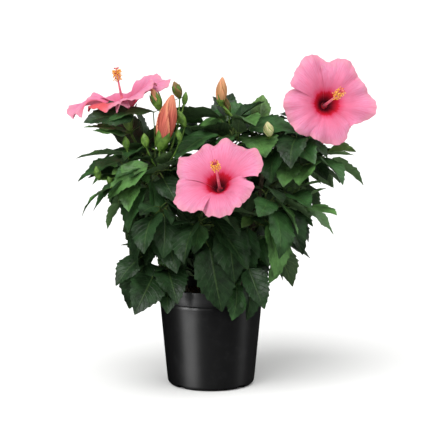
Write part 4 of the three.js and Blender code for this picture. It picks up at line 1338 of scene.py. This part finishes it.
def make_twigs(looks):
    _, masses = plant()
    batch = Batch()
    for name, mass in masses.items():
        fine_twigs, fine_leaves = growth()[name]
        for twig in mass.twigs:
            joints = [lerp(twig.leaf_from, LAST_LEAF_AT, i / (twig.leaves - 1)) for i in range(twig.leaves)]
            add_twig(batch, twig.limb, joints)
        for twig in fine_twigs:
            add_twig(batch, twig.limb, FINE_JOINTS)
        for leaf in mass.leaves + fine_leaves:
            add_stalk(batch, leaf)
    rind = wood_finish("twig_rind", looks.green, looks.green_deep, 0.6, 4)
    stalk = wood_finish("leaf_stalk", looks.stalk, looks.green, 0.55, 3)
    batch.piece("twigs_and_stalks", [rind, stalk], "green_wood", *(f"mass_{name}" for name in masses))


def make_leaves(looks):
    """One mesh of leaves for the masses of each stem."""
    _, masses = plant()
    large, small = blade_shape(9, True), blade_shape(6, True)
    for stem in STEMS:
        batch = Batch()
        names = [name for name, mass in masses.items() if mass.shoot.stem == stem]
        for name in names:
            for leaf in masses[name].leaves + growth()[name][1]:
                tone = tone_of(leaf, name, looks)
                batch.leaf(leaf, large if leaf.size > LARGE_LEAF else small, tone, tone + len(TONES))
        batch.piece(f"leaves_{stem}", leaf_materials(), "foliage", *(f"mass_{name}" for name in names))


# Blooms

PETAL_ROWS, PETAL_COLUMNS, PETAL_THICK = 34, 52, 0.5
PHASE_STEP = 1.9
LOBES, BROAD_WAVES, INNER_WAVES, INNER_WAVE = 5.2, 7, 12, 0.6
CRINKLE, CURL_IN = 4, 1.4
THROAT_ANGLE = 47
# Finer waves across a petal: how many, their shift, their height and how far out they stay
FRILLS = ((15, 3, 0.01, 4), (34, 1, 0.006, 8))
RUFFLES = ((16, 2.3, 0.25, 5), (35, 1.3, 0.12, 9))
SEPALS, BRACTS, SEPAL_LENGTH = 5, 7, 26
ANTHERS, STIGMAS = 110, 5
ANTHERS_FROM, ANTHERS_TO, ANTHER_TURN = 0.66, 0.99, 2.4
ANTHER_REACH, ANTHER_SIZE = (2.4, 5.6), (0.95, 0.75, 0.65)
STIGMA_RISE, STIGMA_REACH, STIGMA_SIZE = 3.2, 2.6, (0.9, 0.9, 0.9)
COLUMN_FOOT, COLUMN_TOP = 2.0, 0.7
LINING_DEPTH, LINING_FOOT, LINING_TOP = 2.6, 3.2, 4.2
CALYX_NECK, CALYX_RIBS, CALYX_RIB = 1.5, 10, 0.05


def waves(bands, across, phase, share):
    return sum(height * np.sin(count * across + phase * shift) * share ** power
               for count, shift, height, power in bands)


def one_side(across, side, start, end):
    """Rises from 0 to 1 across the side of a petal that the sign names."""
    return smoothstep(across * math.copysign(1, side), start, end)


def petal_points(bloom, place, order, share, across):
    """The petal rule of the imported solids, closed at the throat, with folds and finer ruffles."""
    petal = bloom.petals[order]
    half = np.radians(lerp(THROAT_ANGLE, petal.spread, smoothstep(share, 0, WIDENS_BY)))
    phase = bloom.radius + order * PHASE_STEP
    angle = math.radians(petal.angle) + across * half
    corner = 1 - CORNER_CUT * (across * share) ** 2
    lobe = 1 + LOBE * np.sin(LOBES * across + phase) * share
    frill = 1 + waves(FRILLS, across, phase, share)
    out = bloom.radius * petal.reach * lerp(THROAT_SHARE / petal.reach, 1, share) * corner * lobe * frill
    cup = -PETAL_DEPTH * (1 - share) ** 3 - PETAL_REFLEX * share ** 4
    broad = np.sin(BROAD_WAVES * across + phase) * share ** 3
    wave = bloom.ruffle * (broad + waves(RUFFLES, across, phase, share))
    wave += (petal.lift + petal.tilt * across) * share ** 2
    wave += INNER_WAVE * np.sin(INNER_WAVES * across + phase * 1.7) * share * (1.15 - share)
    crinkle = np.array([noise.noise(Vector((a * 4, s * 2.5, phase))) for a, s in zip(across, share)])
    wave += CRINKLE * crinkle * share ** 2
    curled = one_side(across, petal.curl, 0.1, 0.9) * smoothstep(share, 0.55, 1) ** 1.5 * abs(petal.curl)
    folded = one_side(across, petal.fold, 0, 0.8) * np.sin(math.pi * share ** 1.3) * abs(petal.fold)
    out -= CURL_IN * curled
    height = cup + OVERLAP * across * share + wave + curled + folded
    axis, up, right = (np.array(v) for v in (place.axis, place.up, place.right))
    points = np.array(place.throat) + np.outer(out * np.cos(angle), right)
    return points + np.outer(out * np.sin(angle), up) + np.outer(height, axis)


def make_petals(name, bloom, looks):
    """The five petals of a bloom as thin sheets, their faces and backs in finishes of their own."""
    place = bloom_place(bloom)
    bm = bmesh.new()
    layer = bm.loops.layers.uv.new(SURFACE_MAP)
    for order in range(len(bloom.petals)):
        made = bmesh.ops.create_grid(bm, x_segments=PETAL_COLUMNS, y_segments=PETAL_ROWS, size=1)["verts"]
        flat = np.array([v.co for v in made])
        across, share = flat[:, 0], (flat[:, 1] + 1) / 2
        points = petal_points(bloom, place, order, share, across) * MM
        faces = {face for v in made for face in v.link_faces}
        where = dict(zip(made, zip(across, share)))
        for face in faces:
            for loop in face.loops:
                beside, along = where[loop.vert]
                loop[layer].uv = (0.5 + MAP_HALF * beside, along)
        for v, point in zip(made, points):
            v.co = point
    bm.normal_update()
    facing = sum((face.normal * face.calc_area() for face in bm.faces), Vector())
    if facing.dot(place.axis) < 0:
        bmesh.ops.reverse_faces(bm, faces=bm.faces)
    fronts = set(bm.faces)
    bmesh.ops.solidify(bm, geom=bm.faces[:], thickness=PETAL_THICK * MM)
    for face in bm.faces:
        face.material_index = 0 if face in fronts else 1
    materials = [petal_finish("petal_face", looks, False), petal_finish("petal_back", looks, True)]
    piece_of(bm, f"petals_{name}", materials, "petals", f"bloom_{name}")


class Whorl(NamedTuple):
    """Blades round an axis: how many, turned by a share of a step, how far out, leaning up and out."""
    count: int
    start: float
    radius: float
    lean: tuple
    length: float
    width: float
    bend: float
    fold: float = 0.25
    upper_side: int = -1


def add_whorl(batch, foot, axis, whorl, finish):
    across = across_to(axis)
    for k in range(whorl.count):
        out = turned(across, axis, math.tau * (k + whorl.start) / whorl.count)
        root = foot + out * whorl.radius
        forward = (axis * whorl.lean[0] + out * whorl.lean[1]).normalized()
        side = (out * whorl.upper_side).cross(forward).normalized()
        blade = Leaf(whorl.length, whorl.width, root, root, forward, side, forward.cross(side).normalized(),
                     whorl.bend, whorl.fold, 0, 0.5)
        batch.leaf(blade, blade_shape(6, False), finish, finish)


def add_calyx(batch, foot, axis):
    """A cup with pointed sepals and a whorl of narrow bracts under it."""
    length, radius, reach = CALYX_LENGTH - 2, CALYX_RADIUS, SEPAL_LENGTH
    top = foot + axis * length
    cup = Limb(foot, foot.lerp(top, 0.5), top, 1, 1)

    def radius_of(angle, share):
        ribs = 1 + CALYX_RIB * np.cos(angle * CALYX_RIBS)
        return lerp(CALYX_NECK, radius, smoothstep(share, 0, 0.65)) * ribs

    batch.tube(cup, tube_shape(20, 8), 0, radius_of)
    sepals = Whorl(SEPALS, 0, radius * 0.75, (0.93, 0.36), reach, reach * 0.42, 0.3)
    add_whorl(batch, foot + axis * (length * 0.55), axis, sepals, 0)
    bracts = Whorl(BRACTS, 0.5, 0.9, (0.6, 0.8), reach * 0.55, reach * 0.09, 0.5)
    add_whorl(batch, foot + axis * 0.6, axis, bracts, 0)


COLUMN_PINK, ANTHER_GOLD, STIGMA_RED, THROAT_RED = range(4)


def add_column(batch, place, bloom, random):
    """The column out of the throat, with its lining, its anthers and its stigmas."""
    right, up, out = bloom.column
    head = place.at(out) + place.right * right + place.up * up
    column = Limb(place.at(-PETAL_DEPTH - 4), place.at(out / 2), head, COLUMN_FOOT, COLUMN_TOP)
    batch.tube(column, tube_shape(10, 24), COLUMN_PINK)
    base = place.at(-PETAL_DEPTH - 2)
    lining = Limb(base, base + place.axis, base + place.axis * LINING_DEPTH, LINING_FOOT, LINING_TOP)
    batch.tube(lining, tube_shape(20, 2), THROAT_RED)
    for k in range(ANTHERS):
        t = lerp(ANTHERS_FROM, ANTHERS_TO, ((k + 0.5) / ANTHERS) ** 0.8)
        along = column.tangent(t)
        around = turned(across_to(along), along, k * ANTHER_TURN + next(random))
        start = column.point(t)
        end = start + (around + along * 0.35) * lerp(*ANTHER_REACH, next(random))
        batch.tube(Limb(start, start.lerp(end, 0.5), end, 0.22, 0.16), tube_shape(4, 1), COLUMN_PINK)
        batch.grain(end, Quaternion(around, math.tau * next(random)), ANTHER_SIZE, ANTHER_GOLD)
    along = column.tangent(1)
    for k in range(STIGMAS):
        around = turned(across_to(along), along, math.tau * k / STIGMAS)
        end = head + along * STIGMA_RISE + around * STIGMA_REACH
        batch.tube(Limb(head, head + along * 2, end, 0.4, 0.3), tube_shape(6, 3), COLUMN_PINK)
        batch.grain(end, Quaternion(), STIGMA_SIZE, STIGMA_RED)


def make_bloom_parts(looks):
    """Calyx and stalk of each bloom, and its column."""
    _, masses = plant()
    green, hearts = Batch(), Batch()
    for order, bloom in enumerate(BLOOMS.values()):
        place = bloom_place(bloom)
        stalk = flower_stalk(bloom, masses[bloom.shoot].twigs[0].limb)
        green.tube(stalk, tube_shape(10, 24), 0)
        add_calyx(green, stalk.tip - place.axis * STALK_INTO_CALYX, place.axis)
        add_column(hearts, place, bloom, random_stream(order + 71))
    nodes = [f"bloom_{name}" for name in BLOOMS]
    rind = plain_finish("calyx_green", looks.calyx, looks.calyx_deep, 0.5, 0.35)
    green.piece("calyces", [rind], "petals", *nodes)
    parts = [plain_finish("column_pink", looks.column, looks.deep, 0.5, 0.3),
             plain_finish("anther_gold", looks.anther, looks.anther_deep, 0.8, 0.2, 400),
             plain_finish("stigma_red", looks.stigma, looks.eye_colour, 0.7, 0.2, 400),
             plain_finish("throat_red", looks.eye_colour, looks.eye_deep, 0.6, 0.2)]
    hearts.piece("columns_and_anthers", parts, "anthers", *nodes)


# Buds

# The share of a bud that its sepals reach up, and how they bend where they reach up little or far
BIG_COVER, LOW_COVER, HIGH_COVER = 0.36, 0.44, 0.8
LOW_BEND, HIGH_BEND = 0.75, 1
WIDEST = 0.8


class SmallBud(NamedTuple):
    """A bud placed by its foot and top, on a stalk from the nearest twig of a shoot."""
    shoot: str
    foot: tuple
    top: tuple
    width: float
    tone: int
    cover: float = LOW_COVER


GREEN_BUD, PALE_BUD, CORAL_BUD, BROWN_BUD, CREAM_BUD = range(5)
# Radii of a bud's stalk at its foot and at the bud
LARGE_STALK, SMALL_STALK = (1.1, 1.3), (0.9, 0.8)
SMALL_BUDS = [
    SmallBud("top_middle", (21.9, 0, 330), (17.1, 0, 352), 9, BROWN_BUD),
    SmallBud("left_buds", (-37.1, -10, 351), (-44.2, -10, 371), 12, BROWN_BUD, 0.75),
    SmallBud("left_buds", (-32.2, -12, 343), (-29.8, -12, 359), 7, GREEN_BUD),
    SmallBud("left_buds", (-60.5, -30, 338), (-70, -30, 364), 12, PALE_BUD, 0.8),
    SmallBud("left_buds", (-30.8, -30, 318), (-39.1, -30, 338), 10, GREEN_BUD),
    SmallBud("left_buds", (-76.6, -50, 296), (-78.8, -50, 312), 10, GREEN_BUD),
    SmallBud("left_buds", (-36.4, -50, 303), (-38.7, -50, 317), 7, GREEN_BUD),
    SmallBud("left_reach", (-99.6, -40, 292), (-101.8, -40, 308), 9, GREEN_BUD),
    SmallBud("top_right", (70, -38, 307), (67, -40, 325), 12.5, CREAM_BUD, 0.62),
    SmallBud("left_reach", (-132.5, -50, 257), (-135.9, -50, 273), 9, GREEN_BUD),
    SmallBud("left_reach", (-118.3, -50, 251), (-121.8, -50, 261), 7, GREEN_BUD),
]
BUD_SIDES, BUD_ROWS = 50, 36
FURLS, FURL_TWIST = 4, 1.5
BUD_TOP, BUD_ROUND, BUD_THIN = 0.985, 0.6, 0.12
# Radius on the low and the high side of a furled petal's edge, as shares
FURL_LOW, FURL_HIGH = 0.86, 1.04


def bud_radius(width, high):
    """Radius of a furled bud, where its petals' edges wind up it. High sets where it is widest."""
    def radius_of(angle, share):
        swell = np.sin(np.pi * np.minimum(share, BUD_TOP) ** high).clip(0) ** BUD_ROUND
        turn = (angle / math.tau * FURLS + FURL_TWIST * share) % 1
        furled = lerp(FURL_LOW, FURL_HIGH, turn * smoothstep(share, 0.12, 0.4))
        return width / 2 * np.maximum(BUD_THIN, swell) * furled
    return radius_of


def add_bud(batch, foot, up, length, width, tone, high, cover):
    """A furled bud in its green calyx with bracts under it."""
    body = Limb(foot, foot + up * (length / 2), foot + up * length, 1, 1)
    batch.tube(body, tube_shape(BUD_SIDES, BUD_ROWS), tone, bud_radius(width, high))
    reach = length * cover + 3
    bend = lerp(LOW_BEND, HIGH_BEND, (cover - LOW_COVER) / (HIGH_COVER - LOW_COVER))
    sepals = Whorl(SEPALS, 0, width * 0.12, (0.78, 0.62), reach, width * 0.72, bend, -0.45, 1)
    add_whorl(batch, foot - up * 0.5, up, sepals, GREEN_BUD)
    bracts = Whorl(BRACTS, 0.5, 0, (0.45, 0.9), reach * 0.5, reach * 0.09, 0.9)
    add_whorl(batch, foot - up, up, bracts, GREEN_BUD)


def leaning(heading, angle):
    """The direction that leans by an angle from upright, towards a heading, both in radians."""
    out = math.sin(angle)
    return Vector((out * math.cos(heading), out * math.sin(heading), math.cos(angle)))


def make_buds(looks):
    """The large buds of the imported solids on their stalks, then the small ones."""
    _, masses = plant()
    batch = Batch()
    # The second colour of each bud finish also paints shade in its folds, and the third a highlight on its
    # furled edges.
    coral = bud_finish("bud_coral", looks.coral, looks.coral_deep_and_fold_shade, looks.coral_tip_and_edge_highlight)
    pale = bud_finish("bud_pale", looks.pale, looks.pale_deep, looks.coral_tip_and_edge_highlight)
    brown = bud_finish("bud_brown", looks.brown, looks.green_deep, looks.pale_deep)
    green = plain_finish("bud_green", looks.green, looks.green_deep, 0.5, 0.35)
    cream = bud_finish("bud_cream", looks.cream, looks.green, looks.cream)
    tones = [green, pale, coral, brown, cream]
    for name, bud in BUDS.items():
        heading, tilt, lean = (math.radians(angle) for angle in (bud.heading, bud.tilt, bud.lean))
        shoot = masses[bud.shoot].twigs[0].limb
        direction, up = shoot.tangent(1), leaning(heading, lean)
        foot = shoot.tip + direction * (bud.stalk * 0.2) + leaning(heading, tilt) * (bud.stalk * 0.8)
        middle = shoot.tip + direction * (bud.stalk * 0.35)
        stalk = Limb(shoot.tip - direction, middle, foot + up, *LARGE_STALK)
        batch.tube(stalk, tube_shape(8, 14), GREEN_BUD)
        tone = CORAL_BUD if name == "coral" else PALE_BUD
        add_bud(batch, foot, up, bud.length, bud.width, tone, bud.high, BIG_COVER)
    for bud in SMALL_BUDS:
        foot, top = Vector(bud.foot), Vector(bud.top)
        limbs = [twig.limb for twig in masses[bud.shoot].twigs]
        start = nearest_start(limbs, (0.5, 0.7, 0.9), foot)
        up = (top - foot).normalized()
        middle = start.lerp(foot, 0.6) - up * ((foot - start).length * 0.2)
        batch.tube(Limb(start, middle, foot + up, *SMALL_STALK), tube_shape(8, 14), GREEN_BUD)
        add_bud(batch, foot, up, (top - foot).length, bud.width, bud.tone, WIDEST, bud.cover)
    nodes = sorted({f"mass_{bud.shoot}" for bud in [*BUDS.values(), *SMALL_BUDS]})
    batch.piece("buds", tones, "bud_skin", *nodes)


# Stage

CAMERA_AT, CAMERA_AIM = (0.005, -1.99, 0.48), (0.005, 0, 0.208)
FLOOR_HALF = 250
LENS, SENSOR = 137.9, 36
# Broad lights: tilt from upright, heading and width in degrees, and share of the main strength
SUNS = {"key": (38, -32, 60, 1), "fill": (35, 30, 80, 0.4), "rim": (58, 130, 60, 0.25)}
# Soft boxes for the pot's sheen: place, size, and share of the strip's power
STRIPS = {
    "strip_left": ((-1.07, -0.9, 0.32), (0.8, 0.6), 1),
    "strip_right": ((1.4, -0.2, 0.32), (0.4, 0.6), 0.12),
}
STRIP_TARGET = (0, 0, 0.12)


def aim(thing, at, target):
    """Links a light or camera that looks from one place to another, in metres."""
    thing.location = at
    thing.rotation_euler = (Vector(target) - Vector(at)).to_track_quat("-Z", "Y").to_euler()
    bpy.context.scene.collection.objects.link(thing)


def strip_light(name, at, size, power):
    """A soft box at the pot's height, which shows only as a sheen on the pot."""
    light = bpy.data.lights.new(name, "AREA")
    light.shape, light.size, light.size_y = "RECTANGLE", *size
    light.energy = power
    thing = bpy.data.objects.new(name, light)
    thing.visible_diffuse = False
    thing.light_linking.receiver_collection = sheen_receivers()
    aim(thing, at, STRIP_TARGET)


def make_floor(looks):
    """A pale floor far past the picture, which doesn't show in the pot's gloss."""
    bm = bmesh.new()
    bmesh.ops.create_grid(bm, x_segments=1, y_segments=1, size=FLOOR_HALF)
    mesh = bpy.data.meshes.new("floor")
    bm.to_mesh(mesh)
    bm.free()
    floor = bpy.data.objects.new("floor", mesh)
    bpy.context.scene.collection.objects.link(floor)
    floor.visible_glossy = False
    finish = Finish("pale_floor", 0.9, 0.1)
    finish.say("Base Color", looks.floor)
    mesh.materials.append(finish.material)


def make_stage(looks):
    """Floor, even light from all round, suns, the pot's strips and the camera of the photo."""
    scene = bpy.context.scene
    make_floor(looks)
    world = bpy.data.worlds.new("studio")
    world.use_nodes = True
    background = world.node_tree.nodes["Background"]
    background.inputs["Color"].default_value = (1, 1, 1, 1)
    background.inputs["Strength"].default_value = looks.fill
    scene.world = world
    world.cycles_visibility.glossy = False
    for name, (tilt, heading, width, share) in SUNS.items():
        sun = bpy.data.lights.new(name, "SUN")
        sun.energy, sun.angle = looks.key * share, math.radians(width)
        thing = bpy.data.objects.new(name, sun)
        thing.rotation_euler = (math.radians(tilt), 0, math.radians(heading))
        scene.collection.objects.link(thing)
    for name, (at, size, share) in STRIPS.items():
        strip_light(name, at, size, looks.strip * share)
    camera = bpy.data.cameras.new("camera")
    camera.lens, camera.sensor_width = LENS, SENSOR
    thing = bpy.data.objects.new("camera", camera)
    aim(thing, CAMERA_AT, CAMERA_AIM)
    scene.camera = thing
    scene.view_settings.view_transform = "Standard"


# Settings, one group for each kind of piece

def colour(name, red, green, blue, words):
    return FloatVectorProperty(name=name, subtype="COLOR", size=4, min=0, max=1,
                               default=srgb(red, green, blue), description=words)


def amount(name, value, words, high=1.0):
    return FloatProperty(name=name, default=value, min=0, max=high, description=words)


class PotSettings(bpy.types.PropertyGroup):
    colour: colour("Colour", 18, 18, 19, "Plastic of the pot")
    # Colour of a thin dusting on the plastic, also painted over the rim band as sheen.
    dust: colour("Dust", 50, 50, 51, "Thin dust on the plastic")
    roughness: amount("Roughness", 0.42, "How satin the plastic is")
    gloss: amount("Gloss", 0.2, "Strength of its reflections")
    brushed: amount("Brushed", 0.7, "How far its fine turned lines draw out a highlight")


class SoilSettings(bpy.types.PropertyGroup):
    colour: colour("Loam", 74, 52, 38, "Lighter clods")
    deep: colour("Deep", 38, 26, 19, "Damp hollows")
    bark: colour("Bark", 112, 78, 52, "Crumbs of bark")
    peat: colour("Peat", 60, 46, 36, "Crumbs of peat")
    crumbs: IntProperty(name="Crumbs", default=2400, min=0, max=6000, description="Number of loose crumbs")
    seed: IntProperty(name="Seed", default=5, min=0, description="Where the crumbs lie")


class WoodSettings(bpy.types.PropertyGroup):
    bark: colour("Bark", 116, 106, 88, "Bark of the stems")
    bark_deep: colour("Bark cracks", 66, 56, 42, "Cracks in the bark")
    green: colour("Rind", 84, 104, 50, "Green rind of boughs and twigs")
    green_deep: colour("Rind, dark", 52, 62, 34, "Streaks in the rind")
    stalk: colour("Leaf stalk", 104, 128, 62, "Stalks of the leaves")
    ridges: amount("Ridges", 0.32, "Depth of the bark in millimetres")


class LeafSettings(bpy.types.PropertyGroup):
    # The deep tone also paints shade on the low and inner shoots, and the light tone paints light on a few
    # outer ones.
    deep: colour("Deep", 31, 54, 28, "Oldest leaves")
    mid: colour("Middle", 46, 79, 40, "Full leaves")
    light: colour("Light", 70, 107, 54, "Leaves in full light")
    young: colour("Young", 86, 122, 60, "Leaves at the tips")
    back: colour("Under side", 88, 112, 76, "Under sides")
    vein: colour("Veins", 120, 152, 84, "Midribs and side veins")
    roughness: amount("Roughness", 0.4, "How satin the upper side is")
    gloss: amount("Gloss", 0.34, "Strength of its reflections")
    deep_share: amount("Deep share", 0.42, "Share of leaves in the deepest tone")
    mid_share: amount("Middle share", 0.8, "Share in the deepest or the middle tone")


class BloomSettings(bpy.types.PropertyGroup):
    colour: colour("Petals", 214, 140, 172, "Middle of the petals")
    deep: colour("Deep pink", 206, 88, 122, "Veins and the part by the eye")
    rim: colour("Rim", 216, 144, 158, "Warmer rim")
    back: colour("Back", 214, 104, 128, "Backs of the petals")
    aged: colour("Aged", 206, 72, 70, "Coral red patches")
    halo: colour("Halo", 204, 42, 84, "Round the eye")
    eye_colour: colour("Eye", 186, 14, 40, "Outer eye")
    eye_deep: colour("Eye, deep", 56, 4, 10, "Middle of the eye")
    column: colour("Column", 236, 128, 140, "Column of the flower")
    anther: colour("Anthers", 250, 198, 88, "Pollen")
    anther_deep: colour("Anthers, deep", 236, 156, 66, "Stalks of the anthers")
    stigma: colour("Stigmas", 214, 92, 62, "The five stigmas")
    calyx: colour("Calyx", 118, 146, 66, "Sepals and bracts")
    calyx_deep: colour("Calyx, dark", 82, 108, 48, "Their darker parts")
    eye: amount("Eye size", 0.235, "Share of a petal that is eye")


class BudSettings(bpy.types.PropertyGroup):
    # Each bud's deep colour also paints shade in the folds behind its furled edges, and its tip colour paints
    # a highlight along them.
    coral: colour("Coral", 206, 108, 92, "Large bud")
    coral_deep_and_fold_shade: colour("Coral, deep", 128, 44, 32, "Folds between its furled petals")
    coral_tip_and_edge_highlight: colour("Tip", 222, 150, 112, "Edges and tips of furled petals")
    pale: colour("Pale", 206, 152, 108, "Young petals")
    pale_deep: colour("Pale, deep", 150, 104, 62, "Their furled edges")
    brown: colour("Brown", 112, 78, 46, "Buds that are still small")
    cream: colour("Cream", 206, 196, 150, "A bud that is still pale")
    green: colour("Green", 104, 140, 54, "Green buds and sepals")
    green_deep: colour("Green, dark", 66, 98, 34, "Their darker parts")


class StageSettings(bpy.types.PropertyGroup):
    floor: colour("Floor", 244, 244, 243, "Pale floor")
    fill: amount("Fill", 0.4, "Even light from all round", 5)
    key: amount("Key", 2.6, "Strength of the broad main light", 20)
    strip: amount("Strip", 72, "Power of the soft strip at the left", 200)


# Operators, one for each piece or group of like pieces

class SHRUB_OT_pot(bpy.types.Operator):
    """Makes the nursery pot"""
    bl_idname = "shrub.pot"
    bl_label = "Pot"

    def execute(self, context):
        make_pot(context.scene.shrub_pot)
        return {"FINISHED"}


class SHRUB_OT_soil(bpy.types.Operator):
    """Makes the potting soil with its crumbs"""
    bl_idname = "shrub.soil"
    bl_label = "Soil"

    def execute(self, context):
        make_soil(context.scene.shrub_soil)
        return {"FINISHED"}


class SHRUB_OT_wood(bpy.types.Operator):
    """Makes the stems, boughs, twigs and leaf stalks"""
    bl_idname = "shrub.wood"
    bl_label = "Wood"

    def execute(self, context):
        looks = context.scene.shrub_wood
        make_stems(looks)
        make_boughs(looks)
        make_twigs(looks)
        return {"FINISHED"}


class SHRUB_OT_leaves(bpy.types.Operator):
    """Makes the leaves of every mass"""
    bl_idname = "shrub.leaves"
    bl_label = "Leaves"

    def execute(self, context):
        make_leaves(context.scene.shrub_leaves)
        return {"FINISHED"}


class SHRUB_OT_blooms(bpy.types.Operator):
    """Makes the petals, calyces and columns of the three blooms"""
    bl_idname = "shrub.blooms"
    bl_label = "Blooms"

    def execute(self, context):
        looks = context.scene.shrub_blooms
        for name, bloom in BLOOMS.items():
            make_petals(name, bloom, looks)
        make_bloom_parts(looks)
        return {"FINISHED"}


class SHRUB_OT_buds(bpy.types.Operator):
    """Makes the large and small buds"""
    bl_idname = "shrub.buds"
    bl_label = "Buds"

    def execute(self, context):
        make_buds(context.scene.shrub_buds)
        return {"FINISHED"}


class SHRUB_OT_stage(bpy.types.Operator):
    """Makes the floor, the lights and the camera"""
    bl_idname = "shrub.stage"
    bl_label = "Stage"

    def execute(self, context):
        make_stage(context.scene.shrub_stage)
        return {"FINISHED"}


OPERATORS = (SHRUB_OT_stage, SHRUB_OT_pot, SHRUB_OT_soil, SHRUB_OT_wood, SHRUB_OT_leaves, SHRUB_OT_blooms,
             SHRUB_OT_buds)
SETTINGS = {
    "shrub_pot": PotSettings,
    "shrub_soil": SoilSettings,
    "shrub_wood": WoodSettings,
    "shrub_leaves": LeafSettings,
    "shrub_blooms": BloomSettings,
    "shrub_buds": BudSettings,
    "shrub_stage": StageSettings,
}


class SHRUB_PT_panel(bpy.types.Panel):
    """Lists the operators in the sidebar"""
    bl_label = "Potted hibiscus shrub"
    bl_space_type = "VIEW_3D"
    bl_region_type = "UI"
    bl_category = "Shrub"

    def draw(self, context):
        for operator in OPERATORS:
            self.layout.operator(operator.bl_idname)


def register():
    for kind in (*SETTINGS.values(), *OPERATORS, SHRUB_PT_panel):
        bpy.utils.register_class(kind)
    for name, kind in SETTINGS.items():
        setattr(bpy.types.Scene, name, PointerProperty(type=kind))


def unregister():
    for name in SETTINGS:
        delattr(bpy.types.Scene, name)
    for kind in (SHRUB_PT_panel, *reversed(OPERATORS), *SETTINGS.values()):
        bpy.utils.unregister_class(kind)


def main():
    register()
    bpy.ops.shrub.stage()
    bpy.ops.shrub.pot()
    bpy.ops.shrub.soil()
    bpy.ops.shrub.wood()
    bpy.ops.shrub.leaves()
    bpy.ops.shrub.blooms()
    bpy.ops.shrub.buds()


if __name__ == "__main__":
    main()
